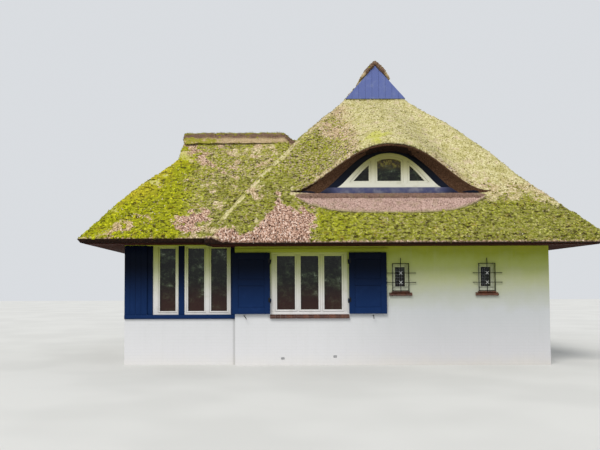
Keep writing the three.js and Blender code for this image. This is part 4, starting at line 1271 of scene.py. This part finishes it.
def ridge_finish():
    ridge = Finish("heather_and_roll", roughness=0.95, specular=0.2)
    sod, lone = ridge.mark("sod"), ridge.mark("lone")
    twig = ridge.grain(75, 5, roughness=0.75)
    heather = ridge.ramp(twig, (0.3, "2c201a"), (0.48, "7c6150"), (0.6, "ab8e78"), (0.74, "d2ba9e"))
    roll = ridge.ramp(twig, (0.3, "80663f"), (0.5, "c9b088"), (0.68, "eddcb8"))
    green = ridge.ramp(twig, (0.3, "5c5c0c"), (0.6, "b6b428"))
    blot = ridge.plus(ridge.grain(9, 4), ridge.mark("green"), 0.22)
    colour = ridge.over(ridge.mix(sod, roll, heather), green, blot, 0.58, 0.68, 0.85)
    colour = ridge.mix(ridge.span(lone, 0, 1, 0, 0.3), colour, "d8c8b0", "SOFT_LIGHT")
    return ridge.done(colour, twig, depth=0.03)


heather = ridge_finish()


def ridge_cap(roof, along, centre):
    """The ridge's skin: heather in the upper part, the roll below, with a scalloped line between them."""
    mesh, _ = fine_skin(f"{roof}_ridge", RIDGE_EDGE)
    settle(mesh, np.ones(len(mesh.vertices)), 2)
    points, normals = points_of(mesh.vertices), normals_of(mesh)
    run, side = points[:, along], np.abs(points[:, 1 - along] - centre)
    scallop = 0.025 * np.abs(np.sin(np.pi * run / SCALLOP))
    reach = side.max()
    sod = fade(side, 0.62 * reach - scallop, 0.62 * reach - scallop + 0.03)
    swell = 0.016 * sod + 0.012 * lumps(points, 0.12, 8, 2) - 0.01 * ease(side, 0.85 * reach, reach)
    points = points + normals * swell[:, None]
    points[:, 2] -= 0.6 * scallop * ease(side, 0.75 * reach, reach)
    if roof == "wing":
        points[:, 2] -= ridge_fall(points[:, 0])
    put_back(mesh, points)
    green = (1 - sod) * fade(points[:, 0], -4.0, -3.5) + 0.85 * fade(side, 0.02, 0.13) * (roof == "wing")
    note(mesh, {"sod": sod, "green": green}, "lone", "cut", "covered")
    return piece(f"{roof}_heather_ridge", mesh, heather, replaces=[f"{roof}_ridge"], crease=80)


main_cap, wing_cap = ridge_cap("main", along=1, centre=0.0), ridge_cap("wing", along=0, centre=-2.3)
for roof, cap, seed in (("main", main_cap, 31), ("wing", wing_cap, 37)):
    strew(f"{roof}_ridge_twigs", cap, butts, heather, "sod", 1100.0, seed, at_none=0.35)
for group in (cushions, butts):
    for helper in list(group.objects):
        bpy.data.objects.remove(helper)
    bpy.data.collections.remove(group)


# Gablets
# Navy boards that close the ends of the ridge, nailed upright with open joints.
# Their paint is a lighter blue, partly faded and partly a painted highlight of the sky on the front one, and
# the back one is taken to be the same.
GABLET_BOARDS, GABLET_GAP = 9, 0.0015


def gablet(node):
    low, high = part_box(node)
    middle, half = (low.x + high.x) / 2, (high.x - low.x) / 2
    width = 2 * half / GABLET_BOARDS
    mesh = bmesh.new()
    for i in range(GABLET_BOARDS):
        a, b = low.x + i * width + GABLET_GAP, low.x + (i + 1) * width - GABLET_GAP
        outline = [(a, low.z), (b, low.z)]
        for x in sorted({a, b, *([middle] if a < middle < b else [])}, reverse=True):
            top = low.z + (high.z - low.z) * max(0.0, 1 - abs(x - middle) / half)
            outline.append((x, max(low.z + 0.004, top)))
        block(mesh, [[mesh.verts.new((x, y, z)) for x, z in outline] for y in (low.y, high.y)])
    outwards(mesh)
    bmesh.ops.bevel(mesh, geom=list(mesh.edges), offset=0.0025, segments=1, affect="EDGES",
                    clamp_overlap=True)
    piece(f"{node}_boards", mesh, faded_navy_with_painted_light, replaces=[node])


# A lighter blue: partly faded paint, partly a painted highlight of the sky.
faded_navy_with_painted_light = gloss_paint("gablet_paint", "5c69a2", "7480aa", sheen=0.3)
gablet("front_gablet")
gablet("back_gablet")


# Wall vents
# Two small vents of cast grey metal that air the space under the floor.
# They are set flush in the front wall near the ground.
VENT_FACE = -4.3003
for name, x, z in (("left", -2.35, 0.14), ("right", -1.31, 0.175)):
    rim_depth, slat_depth = (VENT_FACE - 0.003, VENT_FACE), (VENT_FACE - 0.002, VENT_FACE)
    parts = [((x - 0.032, x + 0.032), rim_depth, (z + dz, z + dz + 0.006)) for dz in (-0.02, 0.014)]
    parts += [((x + dx, x + dx + 0.006), rim_depth, (z - 0.014, z + 0.014)) for dx in (-0.032, 0.026)]
    for dz in (-0.012, -0.003, 0.006):
        parts.append(((x - 0.026, x + 0.026), slat_depth, (z + dz, z + dz + 0.004)))
    piece(f"{name}_vent", bars(parts, ease=0.001, segments=1), came)


# Stage
# A pale floor, and soft light from above and the left.
# The camera stands where the photograph was taken.
FLOOR_HALF = 60
PHOTO = (600, 450)
FOCAL = 650
CENTRE = (262, 258.6)
floor_mesh = bpy.data.meshes.new("floor")
corners = [(-FLOOR_HALF, -FLOOR_HALF, 0), (FLOOR_HALF, -FLOOR_HALF, 0), (FLOOR_HALF, FLOOR_HALF, 0),
           (-FLOOR_HALF, FLOOR_HALF, 0)]
floor_mesh.from_pydata(corners, [], [(0, 1, 2, 3)])
floor = bpy.data.objects.new("floor", floor_mesh)
bpy.context.scene.collection.objects.link(floor)
pale = Finish("pale_floor", roughness=0.9)
floor_mesh.materials.append(pale.done(pale.ramp(pale.grain(0.4, 2), (0.4, "c9c9c6"), (0.6, "cfcfcc"))))

world = bpy.data.worlds.new("soft_sky")
bpy.context.scene.world = world
world.use_nodes = True
sky = world.node_tree.nodes["Background"]
sky.inputs["Color"].default_value = (0.93, 0.96, 1.0, 1)
sky.inputs["Strength"].default_value = 0.75
sun = bpy.data.objects.new("soft_sun", bpy.data.lights.new("soft_sun", "SUN"))
sun.data.energy = 2.2
sun.data.angle = math.radians(25)
sun.data.color = (1.0, 0.97, 0.92)
sun.rotation_euler = (math.radians(42), 0, math.radians(-28))
bpy.context.scene.collection.objects.link(sun)

camera = bpy.data.objects.new("camera", bpy.data.cameras.new("camera"))
camera.data.sensor_width = 36
camera.data.lens = 36 * FOCAL / PHOTO[0]
camera.data.shift_x = (PHOTO[0] / 2 - CENTRE[0]) / PHOTO[0]
camera.data.shift_y = (CENTRE[1] - PHOTO[1] / 2) / PHOTO[0]
camera.location = (-2.76, -17.3, 1.56)
camera.rotation_euler = (math.radians(90 + 2.5), math.radians(0.2), 0)
camera.data.clip_end = 200
bpy.context.scene.collection.objects.link(camera)
bpy.context.scene.camera = camera
bpy.context.scene.view_settings.view_transform = "Standard"
